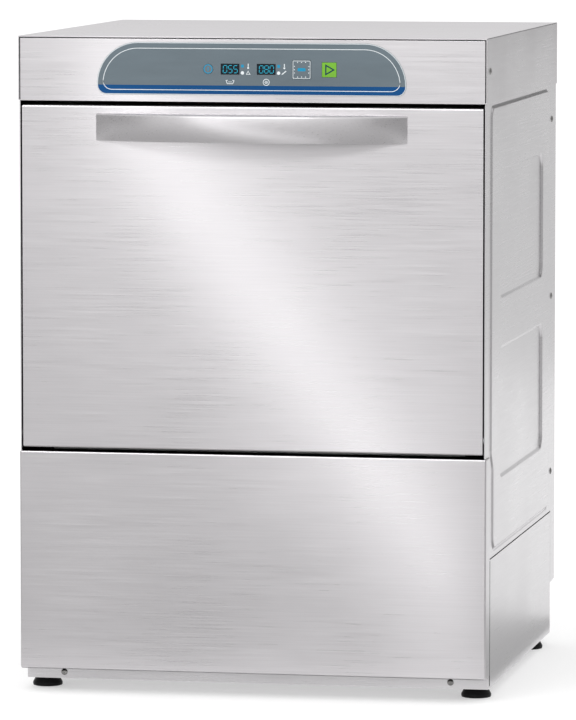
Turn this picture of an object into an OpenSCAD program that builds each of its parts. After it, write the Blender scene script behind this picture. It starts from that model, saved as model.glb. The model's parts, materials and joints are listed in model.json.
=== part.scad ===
// Undercounter commercial dishwasher for 500 mm racks, front loading, with a drop-down door.
// Millimetres. X runs across the width, Y from front to back, Z up from the floor.
// The origin is on the floor, at the centre of the machine's plan, handle included.

/* [Cabinet] */
// Width over the top panel and the lower front panel
cabinet_w = 590; // [580:1:610]
// Depth from the front plane to the back, without the door handle
cabinet_d = 600; // [600:1:620]
// Height of the top panel's upper face above the floor
cabinet_h = 822; // [822:1:850]
// Height of the top panel's skirt, which carries the controls
top_h = 80.5; // [78:0.5:82]
// Thickness of the outer sheet steel
sheet = 1.2; // [1:0.1:1.2]
// Height of the seam between the base and the upper side panels
seam_z = 175; // [160:1:185]
// Upper edge of the lower front panel
front_panel_top = 303.5; // [300:0.5:304]
// Lower edge of the lower front panel
front_panel_bottom = 29.5; // [25:0.5:40]
// Setback of the plinth behind the front plane
plinth_d = 32; // [25:1:36]
// Setback of the base's rear wall in front of the back
rear_recess = 38; // [32:1:42]

/* [Feet] */
// Height of a levelling foot's pad when it is screwed fully in
foot_h = 13; // [10:1:16]
// Diameter of a foot's pad at the floor
foot_pad_d = 37.5; // [30:0.5:40]
// Diameter of a foot's threaded stud
foot_stud_d = 10; // [8:1:12]
// Distance between the left and right feet
foot_spacing_x = 548; // [500:1:552]

/* [Door] */
// Width of the door
door_w = 581; // [578:0.5:582]
// Lower edge of the door
door_bottom = 308.5; // [308:0.5:309]
// Upper edge of the door
door_top = 736; // [730:0.5:737]
// Depth of the door from its front to its inner face
door_depth = 38; // [37:0.5:38]
// Depth of the folded edges of the door's outer skin
door_fold = 20; // [18:0.5:20]
// Distance of the hinge axis behind the front plane
hinge_d = 10; // [10:0.1:10.2]
// Height of the hinge axis
hinge_z = 326; // [326:0.1:326.5]
// Diameter of a hinge pin
hinge_pin_d = 10; // [8:1:10]

/* [Handle] */
// Width of the crescent handle
handle_w = 391; // [360:1:420]
// Height of the crescent handle
handle_h = 34; // [30:1:38]
// Distance that the handle stands out in front of the door
handle_out = 42; // [38:1:46]
// Distance of the handle's top below the door's top
handle_drop = 9.5; // [8:0.5:14]

/* [Controls] */
// Width of the control overlay
overlay_w = 389; // [380:1:395]
// Lower edge of the control overlay
overlay_bottom = 750; // [749:0.5:751]
// Upper edge of the control overlay
overlay_top = 815; // [814:0.5:816]
// Height of the row of displays and keys
control_row_z = 782.3; // [781:0.1:784]
// Side of the square start key
start_key_w = 18; // [16:0.5:18]
// Side of the square programme key
programme_key_w = 23; // [20:0.5:23]
// Diameter of the round power key
power_key_d = 12; // [10:0.5:12]

/* [Wash chamber] */
// Inner width of the wash chamber
chamber_w = 524; // [520:1:526]
// Distance of the chamber's front frame behind the front plane
chamber_front = 42; // [42:0.5:43]
// Distance of the chamber's back wall behind the front plane
chamber_back = 556; // [554:1:558]
// Height of the chamber's ceiling
chamber_top = 728; // [724:1:730]
// Height of the wash tank's floor
tank_floor = 205; // [200:1:208]
// Side of the square dish rack
rack_w = 500; // [500:1:500]
// Height of the dish rack
rack_h = 100; // [90:1:105]

/* [Spray arms] */
// Length of a wash arm
wash_arm_l = 420; // [380:1:440]
// Length of a rinse arm
rinse_arm_l = 400; // [360:1:420]
// Diameter of the spindles on which the arms turn
spindle_d = 12; // [10:1:12]

/* [Hidden] */
$fn = 48;
// Distance by which a cut runs past the face it opens
EPS = 1;
// Radial clearance of a running fit
RUN_FIT = 0.05;
// Gap between stationary sheets that lie against each other
SHEET_GAP = 0.3;

front_y = -(cabinet_d - handle_out) / 2;
half_w = cabinet_w / 2;
skirt_z = cabinet_h - top_h;
side_out = half_w - sheet - SHEET_GAP;
side_in = side_out - sheet;
base_back = cabinet_d - rear_recess;
door_half = door_w / 2;
chamber_half = chamber_w / 2;
hub_d = (chamber_front + chamber_back) / 2 + 1;
foot_ds = [60, 500];
// Height of the underside of the side panels' rear legs
leg_z = 81;
// Front face of the overlay, in front of the skirt
overlay_t = 0.8;
// Distance that a key stands in front of the skirt
key_out = 1.1;
// Gap around keys and display windows
key_gap = 0.3;
power_key_x = -53.8;
display_xs = [-26.2, 19.3];
display_size = [23, 13];
programme_key_x = 63.7;
start_key_x = 98.3;
// Screws on the upper side panels, in the rear edge
side_screw_d = 562;
side_screw_zs = [229, 462, 696];
// Screws that hold the top panel's skirt
top_screw_d = 24;
top_screw_z = 781;
// Screws on the rear panel
rear_screw_x = 268;
rear_screw_zs = [100, 420, 728];
rear_panel_d = cabinet_d - 3;
// Screws on the plinth
plinth_screw_x = 246;
plinth_screw_z = 21;
screw_head_r = 4.7;
screw_head_h = 1.6;
screw_shank_r = 2;
screw_hole_r = 2.3;
// Wash pump axis, in front of the boiler
pump_d = 250;
pump_z = 95;
feed_pipe_x = -75;
feed_pipe_r = 14;
rear_pipe_d = 578;
sump_d = 150;
sump_r = 56;
filter_z = 296;
// Branches to the lower arms: wash pipe, and the thinner rinse pipe beside it
wash_branch_z = 275;
rinse_branch_z = 262;
rinse_branch_x = -34;
rinse_riser_x = -110;
lower_spindle_top = 352;
drain_x = 228;
drain_d = 90;
drain_pipe_z = 60;
drain_spigot_r = 12;
// The water spigots start this far behind the base and end at spigot_end
spigot_start = 4;
spigot_end = 28;
inlet_x = -205;
inlet_z = 60;
inlet_spigot_r = 13.2;
gland_x = 60;
gland_z = 50;
gland_bore_r = 6;
lever_in = door_half - sheet - 3.1;
lever_t = 3;
bracket_in = 278;
bracket_t = 3;
liner_half = 274;
liner_bottom = 330;
liner_top = door_top - 3;
spring_x = lever_in + 1.2;
spring_hook = [30, -20];
spring_anchor_z = 56;
boiler_d = 420;
boiler_z = 105;
boiler_r = 70;
dosing_xs = [-240, -180];
dosing_z = 90;
dosing_front = 60;
rail_z = 354.6;
rack_z = rail_z + 1.6;

// ---- Placing helpers. d is the distance behind the front plane. ----

function at_d(d) = front_y + d;

module box(x0, x1, d0, d1, z0, z1) {
    translate([x0, at_d(d0), z0]) cube([x1 - x0, d1 - d0, z1 - z0]);
}

module rod_x(x0, x1, d, z, r) {
    translate([x0, at_d(d), z]) rotate([0, 90, 0]) cylinder(h = x1 - x0, r = r);
}

module rod_y(x, d0, d1, z, r) {
    translate([x, at_d(d1), z]) rotate([90, 0, 0]) cylinder(h = d1 - d0, r = r);
}

module rod_z(x, d, z0, z1, r) {
    translate([x, at_d(d), z0]) cylinder(h = z1 - z0, r = r);
}

module elbow(x, d, z, r) {
    translate([x, at_d(d), z]) sphere(r = r);
}

// Repeats a part on the other side of the machine
module both_sides() {
    for (side = [0, 1]) mirror([side, 0, 0]) children();
}

// Draws a flat shape on a plane that faces the front; its second axis is Z
module on_front(d, t) {
    translate([0, at_d(d + t), 0]) rotate([90, 0, 0]) linear_extrude(t) children();
}

// Draws a flat shape on a plane that faces sideways; its axes are d and Z
module on_side(x, t) {
    translate([x, front_y, 0]) rotate([90, 0, 90]) linear_extrude(t) children();
}

// Rectangle with rounded corners: lower_r at its first edge, upper_r at its last
module rounded(x0, x1, y0, y1, lower_r, upper_r) {
    difference() {
        translate([x0, y0]) square([x1 - x0, y1 - y0]);
        translate([x0, y0]) corner(lower_r, 0);
        translate([x1, y0]) corner(lower_r, 90);
        translate([x1, y1]) corner(upper_r, 180);
        translate([x0, y1]) corner(upper_r, 270);
    }
}

// What a rounding of radius r takes away from a square corner
module corner(r, angle) {
    rotate(angle) difference() {
        translate([-EPS, -EPS]) square(r + EPS);
        translate([r, r]) circle(r);
    }
}

// Pan-head screw along +Z, with a cross recess; its head's underside is at z = 0
module screw(head_r, shank_l) {
    recess_l = head_r * 1.1;
    recess_w = 1.2;
    difference() {
        cylinder(h = screw_head_h, r = head_r);
        for (turn = [0, 90]) {
            rotate(turn) translate([-recess_l / 2, -recess_w / 2, screw_head_h / 2])
                cube([recess_l, recess_w, screw_head_h]);
        }
    }
    translate([0, 0, -shank_l]) cylinder(h = shank_l, r = screw_shank_r);
}

// ---- Base and feet ----

module base_chassis() {
    boss_h = 20;
    color("silver") difference() {
        union() {
            // Floor
            box(-side_out, side_out, plinth_d, base_back, foot_h, foot_h + sheet);
            // Side walls, and the joggled tongues behind the upper side panels
            both_sides() {
                box(side_in, side_out, plinth_d, base_back, foot_h, seam_z - 1);
                box(side_in - sheet, side_in, plinth_d, base_back, seam_z - 14, seam_z - 1);
                box(side_in - sheet, side_in - 0.1, plinth_d + 4, base_back,
                    seam_z - 2, seam_z + 14);
            }
            // Plinth and rear wall, with the shelf over the rear recess
            box(-side_out, side_out, plinth_d, plinth_d + sheet, foot_h, 60);
            box(-side_out, side_out, base_back - sheet, base_back, foot_h, leg_z - 1);
            box(-side_in + 0.2, side_in - 0.2, base_back - sheet, rear_panel_d - 0.2,
                leg_z - 1 - sheet, leg_z - 1);
            // Welded bosses that take the feet
            for (d = foot_ds) both_sides()
                rod_z(foot_spacing_x / 2, d, foot_h, foot_h + boss_h, foot_stud_d);
            // Anchor bolts of the door springs
            both_sides() rod_x(spring_x - 5, side_in + sheet / 2, hinge_d + spring_hook[0],
                spring_anchor_z, 3);
        }
        for (d = foot_ds) both_sides()
            rod_z(foot_spacing_x / 2, d, foot_h - EPS, foot_h + boss_h + EPS,
                foot_stud_d / 2 + RUN_FIT);
        both_sides() rod_y(plinth_screw_x, plinth_d - EPS, plinth_d + 2 * sheet,
            plinth_screw_z, screw_hole_r);
        rod_y(drain_x, base_back - 2 * sheet, base_back + EPS, drain_pipe_z,
            drain_spigot_r + 0.5);
        rod_y(inlet_x, base_back - 2 * sheet, base_back + EPS, inlet_z,
            inlet_spigot_r + 0.5);
        rod_y(gland_x, base_back - 2 * sheet, base_back + EPS, gland_z, 10.3);
    }
}

// Moulded levelling foot: domed pad and stud in one piece
module foot(x, d) {
    pad_r = foot_pad_d / 2;
    rim_h = foot_h * 0.35;
    color([0.05, 0.05, 0.05]) translate([x, at_d(d), 0]) {
        cylinder(h = rim_h, r = pad_r);
        translate([0, 0, rim_h])
            cylinder(h = foot_h - rim_h, r1 = pad_r, r2 = pad_r - 4);
        cylinder(h = foot_h + 30, r = foot_stud_d / 2);
    }
}

module foot_front_left() { foot(-foot_spacing_x / 2, foot_ds[0]); }
module foot_front_right() { foot(foot_spacing_x / 2, foot_ds[0]); }
module foot_rear_left() { foot(-foot_spacing_x / 2, foot_ds[1]); }
module foot_rear_right() { foot(foot_spacing_x / 2, foot_ds[1]); }

// ---- Outer panels ----

// Tray whose folded edges wrap the front of the side panels
module lower_front_panel() {
    lip = 14;
    color([0.8, 0.8, 0.8]) {
        box(-half_w, half_w, 0, sheet, front_panel_bottom, front_panel_top);
        both_sides() box(half_w - sheet, half_w, 0, plinth_d - 0.5,
            front_panel_bottom, front_panel_top);
        // The lips stop short of the side panels, which stand inside the folded sides
        for (z = [front_panel_bottom, front_panel_top - sheet])
            box(-side_in + 0.4, side_in - 0.4, 0, lip, z, z + sheet);
    }
}

module front_panel_screws() {
    color("silver") both_sides()
        translate([plinth_screw_x, at_d(plinth_d), plinth_screw_z])
            rotate([90, 0, 0]) screw(4.2, 8);
}

// Cut-outs for the displays and keys, the same in the skirt and the overlay
module control_cutouts() {
    for (x = display_xs) translate([x, control_row_z])
        square(display_size + [2, 2] * key_gap, center = true);
    translate([power_key_x, control_row_z]) circle(power_key_d / 2 + key_gap);
    translate([programme_key_x, control_row_z])
        square(programme_key_w + 2 * key_gap, center = true);
    translate([start_key_x, control_row_z])
        square(start_key_w + 2 * key_gap, center = true);
}

module top_panel() {
    lip = 12;
    color([0.8, 0.8, 0.8]) difference() {
        union() {
            difference() {
                box(-half_w, half_w, 0, cabinet_d, skirt_z, cabinet_h);
                box(-half_w + sheet, half_w - sheet, sheet, cabinet_d - sheet,
                    skirt_z - EPS, cabinet_h - sheet);
            }
            box(-half_w, half_w, 0, lip, skirt_z, skirt_z + sheet);
        }
        on_front(-EPS, sheet + 2 * EPS) control_cutouts();
        both_sides() rod_x(half_w - 2 * sheet, half_w + EPS, top_screw_d, top_screw_z,
            screw_hole_r);
        // The side panels' front edges stand behind the skirt's lower lip
        both_sides() box(side_in - SHEET_GAP, side_out + SHEET_GAP, sheet + 0.4, lip + EPS,
            skirt_z - EPS, skirt_z + sheet + EPS);
    }
}

// Outline of the stamped field, seen from the right side: its lower part steps back
// behind the fold of the lower front panel
module stamped_field() {
    front = 43;
    foot_front = 58;
    back = 532;
    r = 16;
    joint_r = 4;
    knee = front_panel_top - 3;
    rounded(front, back, knee, skirt_z - 6, joint_r, r);
    rounded(foot_front, back, seam_z + 10, knee + 2 * r, r, joint_r);
}

module side_panel() {
    top = cabinet_h - 8;
    pocket_ds = [109, 474];
    pocket_zs = [[270, 432], [495, 655]];
    pocket_r = 18;
    color([0.72, 0.72, 0.72]) difference() {
        union() {
            on_side(side_in, sheet) {
                translate([1.5, front_panel_top + 1])
                    square([cabinet_d - 1.8 - 1.5, skirt_z - front_panel_top]);
                translate([0, front_panel_top + 1])
                    square([2, skirt_z - 1 - front_panel_top - 1]);
                translate([2, seam_z]) square([cabinet_d - 2, skirt_z - 1 - seam_z]);
                translate([2, skirt_z - 2]) square([cabinet_d - 4, top - skirt_z + 2]);
                translate([base_back + 1, leg_z])
                    square([rear_recess - 1, seam_z - leg_z + EPS]);
            }
            // The field stands out as far as the top panel's skirt
            on_side(side_in, half_w - side_in) stamped_field();
        }
        on_side(side_out, half_w - side_out + EPS) for (zs = pocket_zs)
            rounded(pocket_ds[0], pocket_ds[1], zs[0], zs[1], pocket_r, pocket_r);
        for (z = side_screw_zs)
            rod_x(side_in - EPS, side_out + EPS, side_screw_d, z, screw_hole_r);
        rod_x(side_in - EPS, side_out + EPS, top_screw_d, top_screw_z, screw_hole_r);
    }
}

module side_panel_right() { side_panel(); }
module side_panel_left() { mirror([1, 0, 0]) side_panel(); }

module rear_panel() {
    half = side_in - 0.4;
    vents = 8;
    vent_pitch = 14;
    color([0.7, 0.7, 0.7]) difference() {
        box(-half, half, rear_panel_d, rear_panel_d + sheet, leg_z, skirt_z + 20);
        both_sides() for (z = rear_screw_zs)
            rod_y(rear_screw_x, rear_panel_d - EPS, rear_panel_d + sheet + EPS, z,
                screw_hole_r);
        both_sides() for (i = [0 : vents - 1])
            box(120, 210, rear_panel_d - EPS, rear_panel_d + sheet + EPS,
                130 + i * vent_pitch, 136 + i * vent_pitch);
    }
}

module cabinet_screws() {
    color("silver") {
        both_sides() {
            for (z = side_screw_zs)
                translate([side_out, at_d(side_screw_d), z]) rotate([0, 90, 0])
                    screw(screw_head_r, 10);
            translate([half_w, at_d(top_screw_d), top_screw_z]) rotate([0, 90, 0])
                screw(screw_head_r, 8);
            for (z = rear_screw_zs)
                translate([rear_screw_x, at_d(rear_panel_d + sheet), z])
                    rotate([-90, 0, 0]) screw(screw_head_r - 0.7, 6);
        }
    }
}

// ---- Controls ----

module control_overlay() {
    upper_r = 52;
    lower_r = 12;
    color([0.35, 0.42, 0.45]) difference() {
        on_front(-overlay_t, overlay_t)
            rounded(-overlay_w / 2, overlay_w / 2, overlay_bottom, overlay_top,
                lower_r, upper_r);
        on_front(-overlay_t - EPS, overlay_t + 2 * EPS) control_cutouts();
    }
}

module display_windows() {
    color([0.05, 0.07, 0.08]) for (x = display_xs)
        on_front(-overlay_t, 4 + overlay_t) translate([x, control_row_z])
            square(display_size, center = true);
}

// A key's cap passes through the overlay and the skirt; its stem reaches a switch
module key_stem(x) {
    rod_y(x, 3, 12.2, control_row_z, 2);
}

module power_key() {
    color([0.05, 0.25, 0.6]) {
        rod_y(power_key_x, -key_out, 4, control_row_z, power_key_d / 2);
        key_stem(power_key_x);
    }
}

module programme_key() {
    color([0.3, 0.45, 0.5]) {
        on_front(-key_out, 4 + key_out) translate([programme_key_x, control_row_z])
            square(programme_key_w, center = true);
        key_stem(programme_key_x);
    }
}

module start_key() {
    color([0.45, 0.7, 0.15]) {
        on_front(-key_out, 4 + key_out) translate([start_key_x, control_row_z])
            square(start_key_w, center = true);
        key_stem(start_key_x);
    }
}

module control_housing() {
    wall = 2;
    half = 205;
    low = skirt_z + 3.5;
    high = cabinet_h - 4;
    color([0.1, 0.1, 0.11]) difference() {
        box(-half, half, sheet + SHEET_GAP, 60, low, high);
        box(-half + wall, half - wall, -EPS, 60 - wall, low + wall, high - wall);
    }
}

module control_board() {
    switch_front = 13.2;
    board_front = 20;
    color([0.1, 0.35, 0.2]) {
        box(-160, 160, board_front, board_front + 1.6, skirt_z + 8, cabinet_h - 9);
        for (x = [power_key_x, programme_key_x, start_key_x])
            box(x - 4, x + 4, switch_front, board_front + 0.5, control_row_z - 4,
                control_row_z + 4);
        for (x = display_xs)
            box(x - 11, x + 11, 5, board_front + 0.5, control_row_z - 6, control_row_z + 6);
        box(-140, -90, board_front + 1, 45, skirt_z + 20, skirt_z + 55);
    }
}

// ---- Wash chamber ----

// Front frame, ceiling and side walls
module chamber_shell() {
    frame_half = 283;
    opening_half = chamber_half - 6;
    color([0.75, 0.75, 0.76]) difference() {
        union() {
            on_front(chamber_front, sheet)
                translate([-frame_half, 335]) square([2 * frame_half, 400]);
            box(-chamber_half - sheet, chamber_half + sheet, chamber_front, chamber_back,
                320, chamber_top + sheet);
        }
        box(-chamber_half, chamber_half, chamber_front + sheet, chamber_back + EPS,
            320 - EPS, chamber_top);
        on_front(chamber_front - EPS, sheet + 2 * EPS)
            rounded(-opening_half, opening_half, 345, chamber_top - 6, 8, 14);
        box(-chamber_half - 2 * sheet, chamber_half + 2 * sheet, chamber_front - EPS,
            chamber_front + 2 * sheet, 320 - EPS, 335);
        rod_z(0, hub_d, chamber_top - EPS, chamber_top + sheet + EPS, 10);
    }
}

module chamber_back_wall() {
    color([0.75, 0.75, 0.76])
        box(-chamber_half - sheet, chamber_half + sheet, chamber_back,
            chamber_back + sheet, 300, chamber_top + sheet);
}

// Tank basin with its rim, the sump cup and the sump's outlet
module wash_tank() {
    half = chamber_half - 0.2;
    front = chamber_front + 4;
    rim = 335;
    cup_z = 170;
    color([0.72, 0.72, 0.74]) difference() {
        union() {
            box(-half, half, front, chamber_back - 0.2, tank_floor, rim);
            box(-half, half, chamber_front + sheet + 0.1, front + EPS, rim - sheet, rim);
            rod_z(0, sump_d, cup_z, tank_floor + EPS, sump_r);
            rod_z(0, sump_d, cup_z - 20, cup_z + EPS, 18);
        }
        box(-half + sheet, half - sheet, front + sheet, chamber_back - 0.2 - sheet,
            tank_floor + sheet, rim + EPS);
        rod_z(0, sump_d, cup_z + sheet, tank_floor + 2 * EPS, sump_r - sheet);
        rod_z(0, sump_d, cup_z - 20 - EPS, cup_z + 2 * EPS, 15);
        rod_z(drain_x, drain_d, tank_floor - EPS, tank_floor + 2 * EPS, 10);
        // Passages for the wash and rinse branches in the rear wall
        rod_y(0, chamber_back - 3, chamber_back + EPS, wash_branch_z, 10);
        rod_y(rinse_branch_x, chamber_back - 3, chamber_back + EPS,
            rinse_branch_z, 6.3);
    }
}

module door_gasket() {
    w = 12;
    in = chamber_half - 3;
    top = chamber_top - 5;
    color([0.06, 0.06, 0.06]) {
        both_sides() box(in, in + w, door_depth + 0.5, chamber_front, 346, top + w - 2);
        box(-in - w, in + w, door_depth + 0.5, chamber_front, top, top + w - 2);
    }
}

module rack_guide() {
    color([0.75, 0.75, 0.76]) {
        box(232, chamber_half - 0.1, 60, 545, rail_z, rail_z + 1.4);
        box(chamber_half - 1.5, chamber_half - 0.1, 60, 545, rail_z, rail_z + 22);
    }
}

module rack_guide_right() { rack_guide(); }
module rack_guide_left() { mirror([1, 0, 0]) rack_guide(); }

// Slotted sheets over the tank: left, right and middle
module tank_filters() {
    t = 1.5;
    slot_pitch = 22;
    color([0.7, 0.7, 0.72]) difference() {
        union() {
            both_sides() box(60, chamber_half - 6, 52, 548, filter_z, filter_z + t);
            box(-58, 58, 52, 548, filter_z, filter_z + t);
        }
        both_sides() for (i = [0 : 7]) for (d = [140, 350])
            box(78 + i * slot_pitch, 84 + i * slot_pitch, d, d + 150,
                filter_z - EPS, filter_z + t + EPS);
        rod_z(0, sump_d, filter_z - EPS, filter_z + t + EPS, 48);
        rod_z(0, hub_d, filter_z - EPS, filter_z + t + EPS, 18);
        rod_z(drain_x, drain_d, filter_z - EPS, filter_z + t + EPS, 18);
    }
}

// Basket that stands in the sump, with its grip
module sump_filter() {
    r = 45;
    color([0.2, 0.3, 0.35]) {
        difference() {
            rod_z(0, sump_d, 180, 302, r);
            rod_z(0, sump_d, 182, 302 + EPS, r - 2);
        }
        difference() {
            box(-r + 1, r - 1, sump_d - 3, sump_d + 3, 302 - EPS, 312);
            box(-r + 8, r - 8, sump_d - 4, sump_d + 4, 300, 308);
        }
    }
}

// Tube heater with a hairpin bend, flanged to the tank's rear wall
module tank_heater() {
    z = 232;
    bend = 18;
    x = 130;
    tube_r = 5;
    front = 140;
    flange_d = chamber_back - 0.3 - sheet;
    color([0.35, 0.33, 0.32]) {
        for (side = [-1, 1]) rod_y(x + side * bend, front, flange_d - 2, z, tube_r);
        translate([x, at_d(front), z]) rotate(180) rotate_extrude(angle = 180)
            translate([bend, 0]) circle(tube_r);
        rod_y(x, flange_d - 6, flange_d, z, 25);
    }
}

// ---- Spray arms and their supply ----

// Pipe across the tank, and the spindle of the lower arms
module lower_arm_manifold() {
    end = chamber_back - 0.3 - sheet;
    color([0.6, 0.6, 0.62]) {
        rod_y(0, hub_d, end, wash_branch_z, feed_pipe_r);
        elbow(0, hub_d, wash_branch_z, feed_pipe_r);
        rod_z(0, hub_d, wash_branch_z, 314, 16);
        rod_z(0, hub_d, 313, lower_spindle_top, spindle_d / 2);
        rod_z(0, hub_d, lower_spindle_top - 3, lower_spindle_top + 1, spindle_d / 2 + 3);
        // Rinse branch beside the wash pipe
        rod_y(rinse_branch_x, hub_d, end, rinse_branch_z, 5);
        elbow(rinse_branch_x, hub_d, rinse_branch_z, 5);
        rod_x(rinse_branch_x, 0, hub_d, rinse_branch_z, 5);
    }
}

// Block under the ceiling, and the spindle of the upper arms
module upper_arm_hub() {
    color([0.6, 0.6, 0.62]) {
        rod_z(0, hub_d, 703, chamber_top - 0.1, 24);
        rod_z(0, hub_d, 664, 704, spindle_d / 2);
        rod_z(0, hub_d, 662, 666, spindle_d / 2 + 3);
    }
}

// Two-bladed arm with a hub that runs on a spindle; nozzles point to the dishes
module spray_arm(length, w, hub_r, z0, z1, up, turn) {
    end_r = w / 2;
    reach = length / 2 - end_r;
    low = z0 + 2;
    high = z1 - 2;
    nozzles = 5;
    translate([0, at_d(hub_d), 0]) rotate(turn) difference() {
        union() {
            translate([0, 0, z0]) cylinder(h = z1 - z0, r = hub_r);
            translate([-reach, -w / 2, low]) cube([2 * reach, w, high - low]);
            for (side = [-1, 1]) translate([side * reach, 0, low])
                cylinder(h = high - low, r = end_r);
            for (side = [-1, 1]) for (i = [1 : nozzles])
                translate([side * (hub_r + (reach - hub_r) * i / nozzles),
                    side * w / 5 * (i % 2 == 0 ? 1 : -1),
                    up ? high - EPS : low - 1.5])
                    cylinder(h = 1.5 + EPS, r = w / 8, $fn = 24);
        }
        translate([0, 0, z0 - EPS])
            cylinder(h = z1 - z0 + 2 * EPS, r = spindle_d / 2 + RUN_FIT);
    }
}

module lower_wash_arm() {
    color([0.78, 0.78, 0.8]) spray_arm(wash_arm_l, 34, 20, 316, 335, true, 28);
}

module lower_rinse_arm() {
    color([0.7, 0.7, 0.72]) spray_arm(rinse_arm_l, 18, 13, 337, 348, true, -42);
}

module upper_wash_arm() {
    color([0.78, 0.78, 0.8]) spray_arm(wash_arm_l, 34, 20, 683, 702, false, -30);
}

module upper_rinse_arm() {
    color([0.7, 0.7, 0.72]) spray_arm(rinse_arm_l, 18, 13, 668, 680, false, 46);
}

// Pressure pipe from the pump up the back, over the ceiling and into the tank
module wash_feed_pipe() {
    r = feed_pipe_r;
    top = 758;
    low = pump_z + 45;
    color([0.12, 0.12, 0.13]) {
        rod_y(feed_pipe_x, pump_d + 68, rear_pipe_d, low, r);
        elbow(feed_pipe_x, rear_pipe_d, low, r);
        rod_z(feed_pipe_x, rear_pipe_d, low, top, r);
        elbow(feed_pipe_x, rear_pipe_d, top, r);
        rod_y(feed_pipe_x, hub_d, rear_pipe_d, top, r);
        elbow(feed_pipe_x, hub_d, top, r);
        rod_x(feed_pipe_x, 0, hub_d, top, r);
        elbow(0, hub_d, top, r);
        rod_z(0, hub_d, chamber_top + sheet + 0.1, top, r);
        rod_x(feed_pipe_x, 0, rear_pipe_d, wash_branch_z, r);
        elbow(0, rear_pipe_d, wash_branch_z, r);
        rod_y(0, chamber_back + sheet + 0.2, rear_pipe_d, wash_branch_z, r - 0.5);
    }
}

// Overflow pipe that also plugs the drain; it lifts out to empty the tank
module standpipe() {
    top = 310;
    color([0.25, 0.35, 0.6]) {
        rod_z(drain_x, drain_d, tank_floor + sheet + 0.1, top, 13);
        rod_z(drain_x, drain_d, tank_floor - 6, tank_floor + 5, 9.92);
    }
}

// ---- Wash pump, boiler and services ----

module pump_housing() {
    x0 = -100;
    x1 = -50.1;
    wall = 3;
    color([0.15, 0.15, 0.16]) difference() {
        union() {
            rod_x(x0, x1, pump_d, pump_z, 64);
            rod_x(x0 - 28, x0 + EPS, pump_d, pump_z, 20);
            rod_y(feed_pipe_x, pump_d, pump_d + 67.8, pump_z + 45, 17);
        }
        rod_x(x0 + wall, x1 - wall, pump_d, pump_z, 58);
        rod_x(x0 - 28 - EPS, x0 + wall + EPS, pump_d, pump_z, 16);
        rod_x(x1 - wall - EPS, x1 + EPS, pump_d, pump_z, 8);
    }
}

module pump_motor() {
    x0 = -50;
    x1 = 90;
    shaft_r = 6;
    color([0.5, 0.5, 0.52]) difference() {
        union() {
            rod_x(x0, x1, pump_d, pump_z, 58);
            // Fan cowl
            rod_x(x1 - EPS, x1 + 18, pump_d, pump_z, 60);
            // Foot that bolts to the base
            box(-20, 60, pump_d - 45, pump_d + 45, foot_h + sheet + 0.1, pump_z - 30);
        }
        rod_x(x0 - EPS, x1 + EPS, pump_d, pump_z, shaft_r + RUN_FIT);
        rod_x(x1, x1 + 18 + EPS, pump_d, pump_z, 56);
    }
}

// Impeller, shaft and cooling fan, which turn as one
module pump_rotor() {
    color([0.55, 0.55, 0.58]) {
        rod_x(-94, 104, pump_d, pump_z, 6);
        rod_x(-90, -84, pump_d, pump_z, 52);
        for (blade = [0 : 5]) translate([-85, at_d(pump_d), pump_z])
            rotate([blade * 60, 0, 0]) translate([0, 8, -1.5]) cube([14, 40, 3]);
        rod_x(94, 97, pump_d, pump_z, 20);
        for (blade = [0 : 7]) translate([94, at_d(pump_d), pump_z])
            rotate([blade * 45, 0, 0]) translate([0, 10, -1]) cube([10, 42, 2]);
    }
}

// From the sump's outlet down and round to the pump's inlet
module suction_hose() {
    r = 15;
    x = -150;
    color([0.08, 0.08, 0.08]) {
        rod_z(0, sump_d, pump_z, 149.8, r);
        elbow(0, sump_d, pump_z, r);
        rod_x(x, 0, sump_d, pump_z, r);
        elbow(x, sump_d, pump_z, r);
        rod_y(x, sump_d, pump_d, pump_z, r);
        elbow(x, pump_d, pump_z, r);
        rod_x(x, -128.2, pump_d, pump_z, r);
    }
}

module rinse_boiler() {
    wall = 1.5;
    color([0.68, 0.68, 0.7]) {
        difference() {
            rod_x(-255, -108, boiler_d, boiler_z, boiler_r);
            rod_x(-255 + wall, -108 - wall, boiler_d, boiler_z, boiler_r - wall);
        }
        for (x = [-235, -145])
            box(x, x + 20, boiler_d - 40, boiler_d + 40, foot_h + sheet + 0.1,
                boiler_z - 57.5);
    }
}

module boiler_heater() {
    color([0.55, 0.5, 0.4]) {
        rod_x(-107.9, -100, boiler_d, boiler_z, 38);
        for (turn = [0, 90, 180, 270])
            translate([-101, at_d(boiler_d), boiler_z]) rotate([turn, 0, 0])
                translate([0, 0, 20]) rotate([0, 90, 0]) cylinder(h = 8, r = 4);
    }
}

// Hot water from the boiler to the upper hub, with a branch to the lower one
module rinse_pipe() {
    r = 5;
    x = -180;
    top = 737;
    d1 = boiler_d + boiler_r + 0.4;
    branch_d = chamber_back + 4.2;
    branch_r = 3;
    color([0.72, 0.45, 0.3]) {
        rod_y(x, d1, rear_pipe_d, boiler_z, r);
        elbow(x, rear_pipe_d, boiler_z, r);
        rod_z(x, rear_pipe_d, boiler_z, top, r);
        elbow(x, rear_pipe_d, top, r);
        rod_y(x, hub_d, rear_pipe_d, top, r);
        elbow(x, hub_d, top, r);
        rod_x(x, -feed_pipe_r - 0.4, hub_d, top, r);
        rod_x(x, rinse_riser_x, rear_pipe_d, rinse_branch_z, r);
        rod_y(rinse_riser_x, branch_d, rear_pipe_d, rinse_branch_z, branch_r);
        elbow(rinse_riser_x, branch_d, rinse_branch_z, branch_r);
        rod_x(rinse_riser_x, rinse_branch_x, branch_d, rinse_branch_z, branch_r);
        elbow(rinse_branch_x, branch_d, rinse_branch_z, branch_r);
        rod_y(rinse_branch_x, chamber_back, branch_d, rinse_branch_z, branch_r);
    }
}

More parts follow.
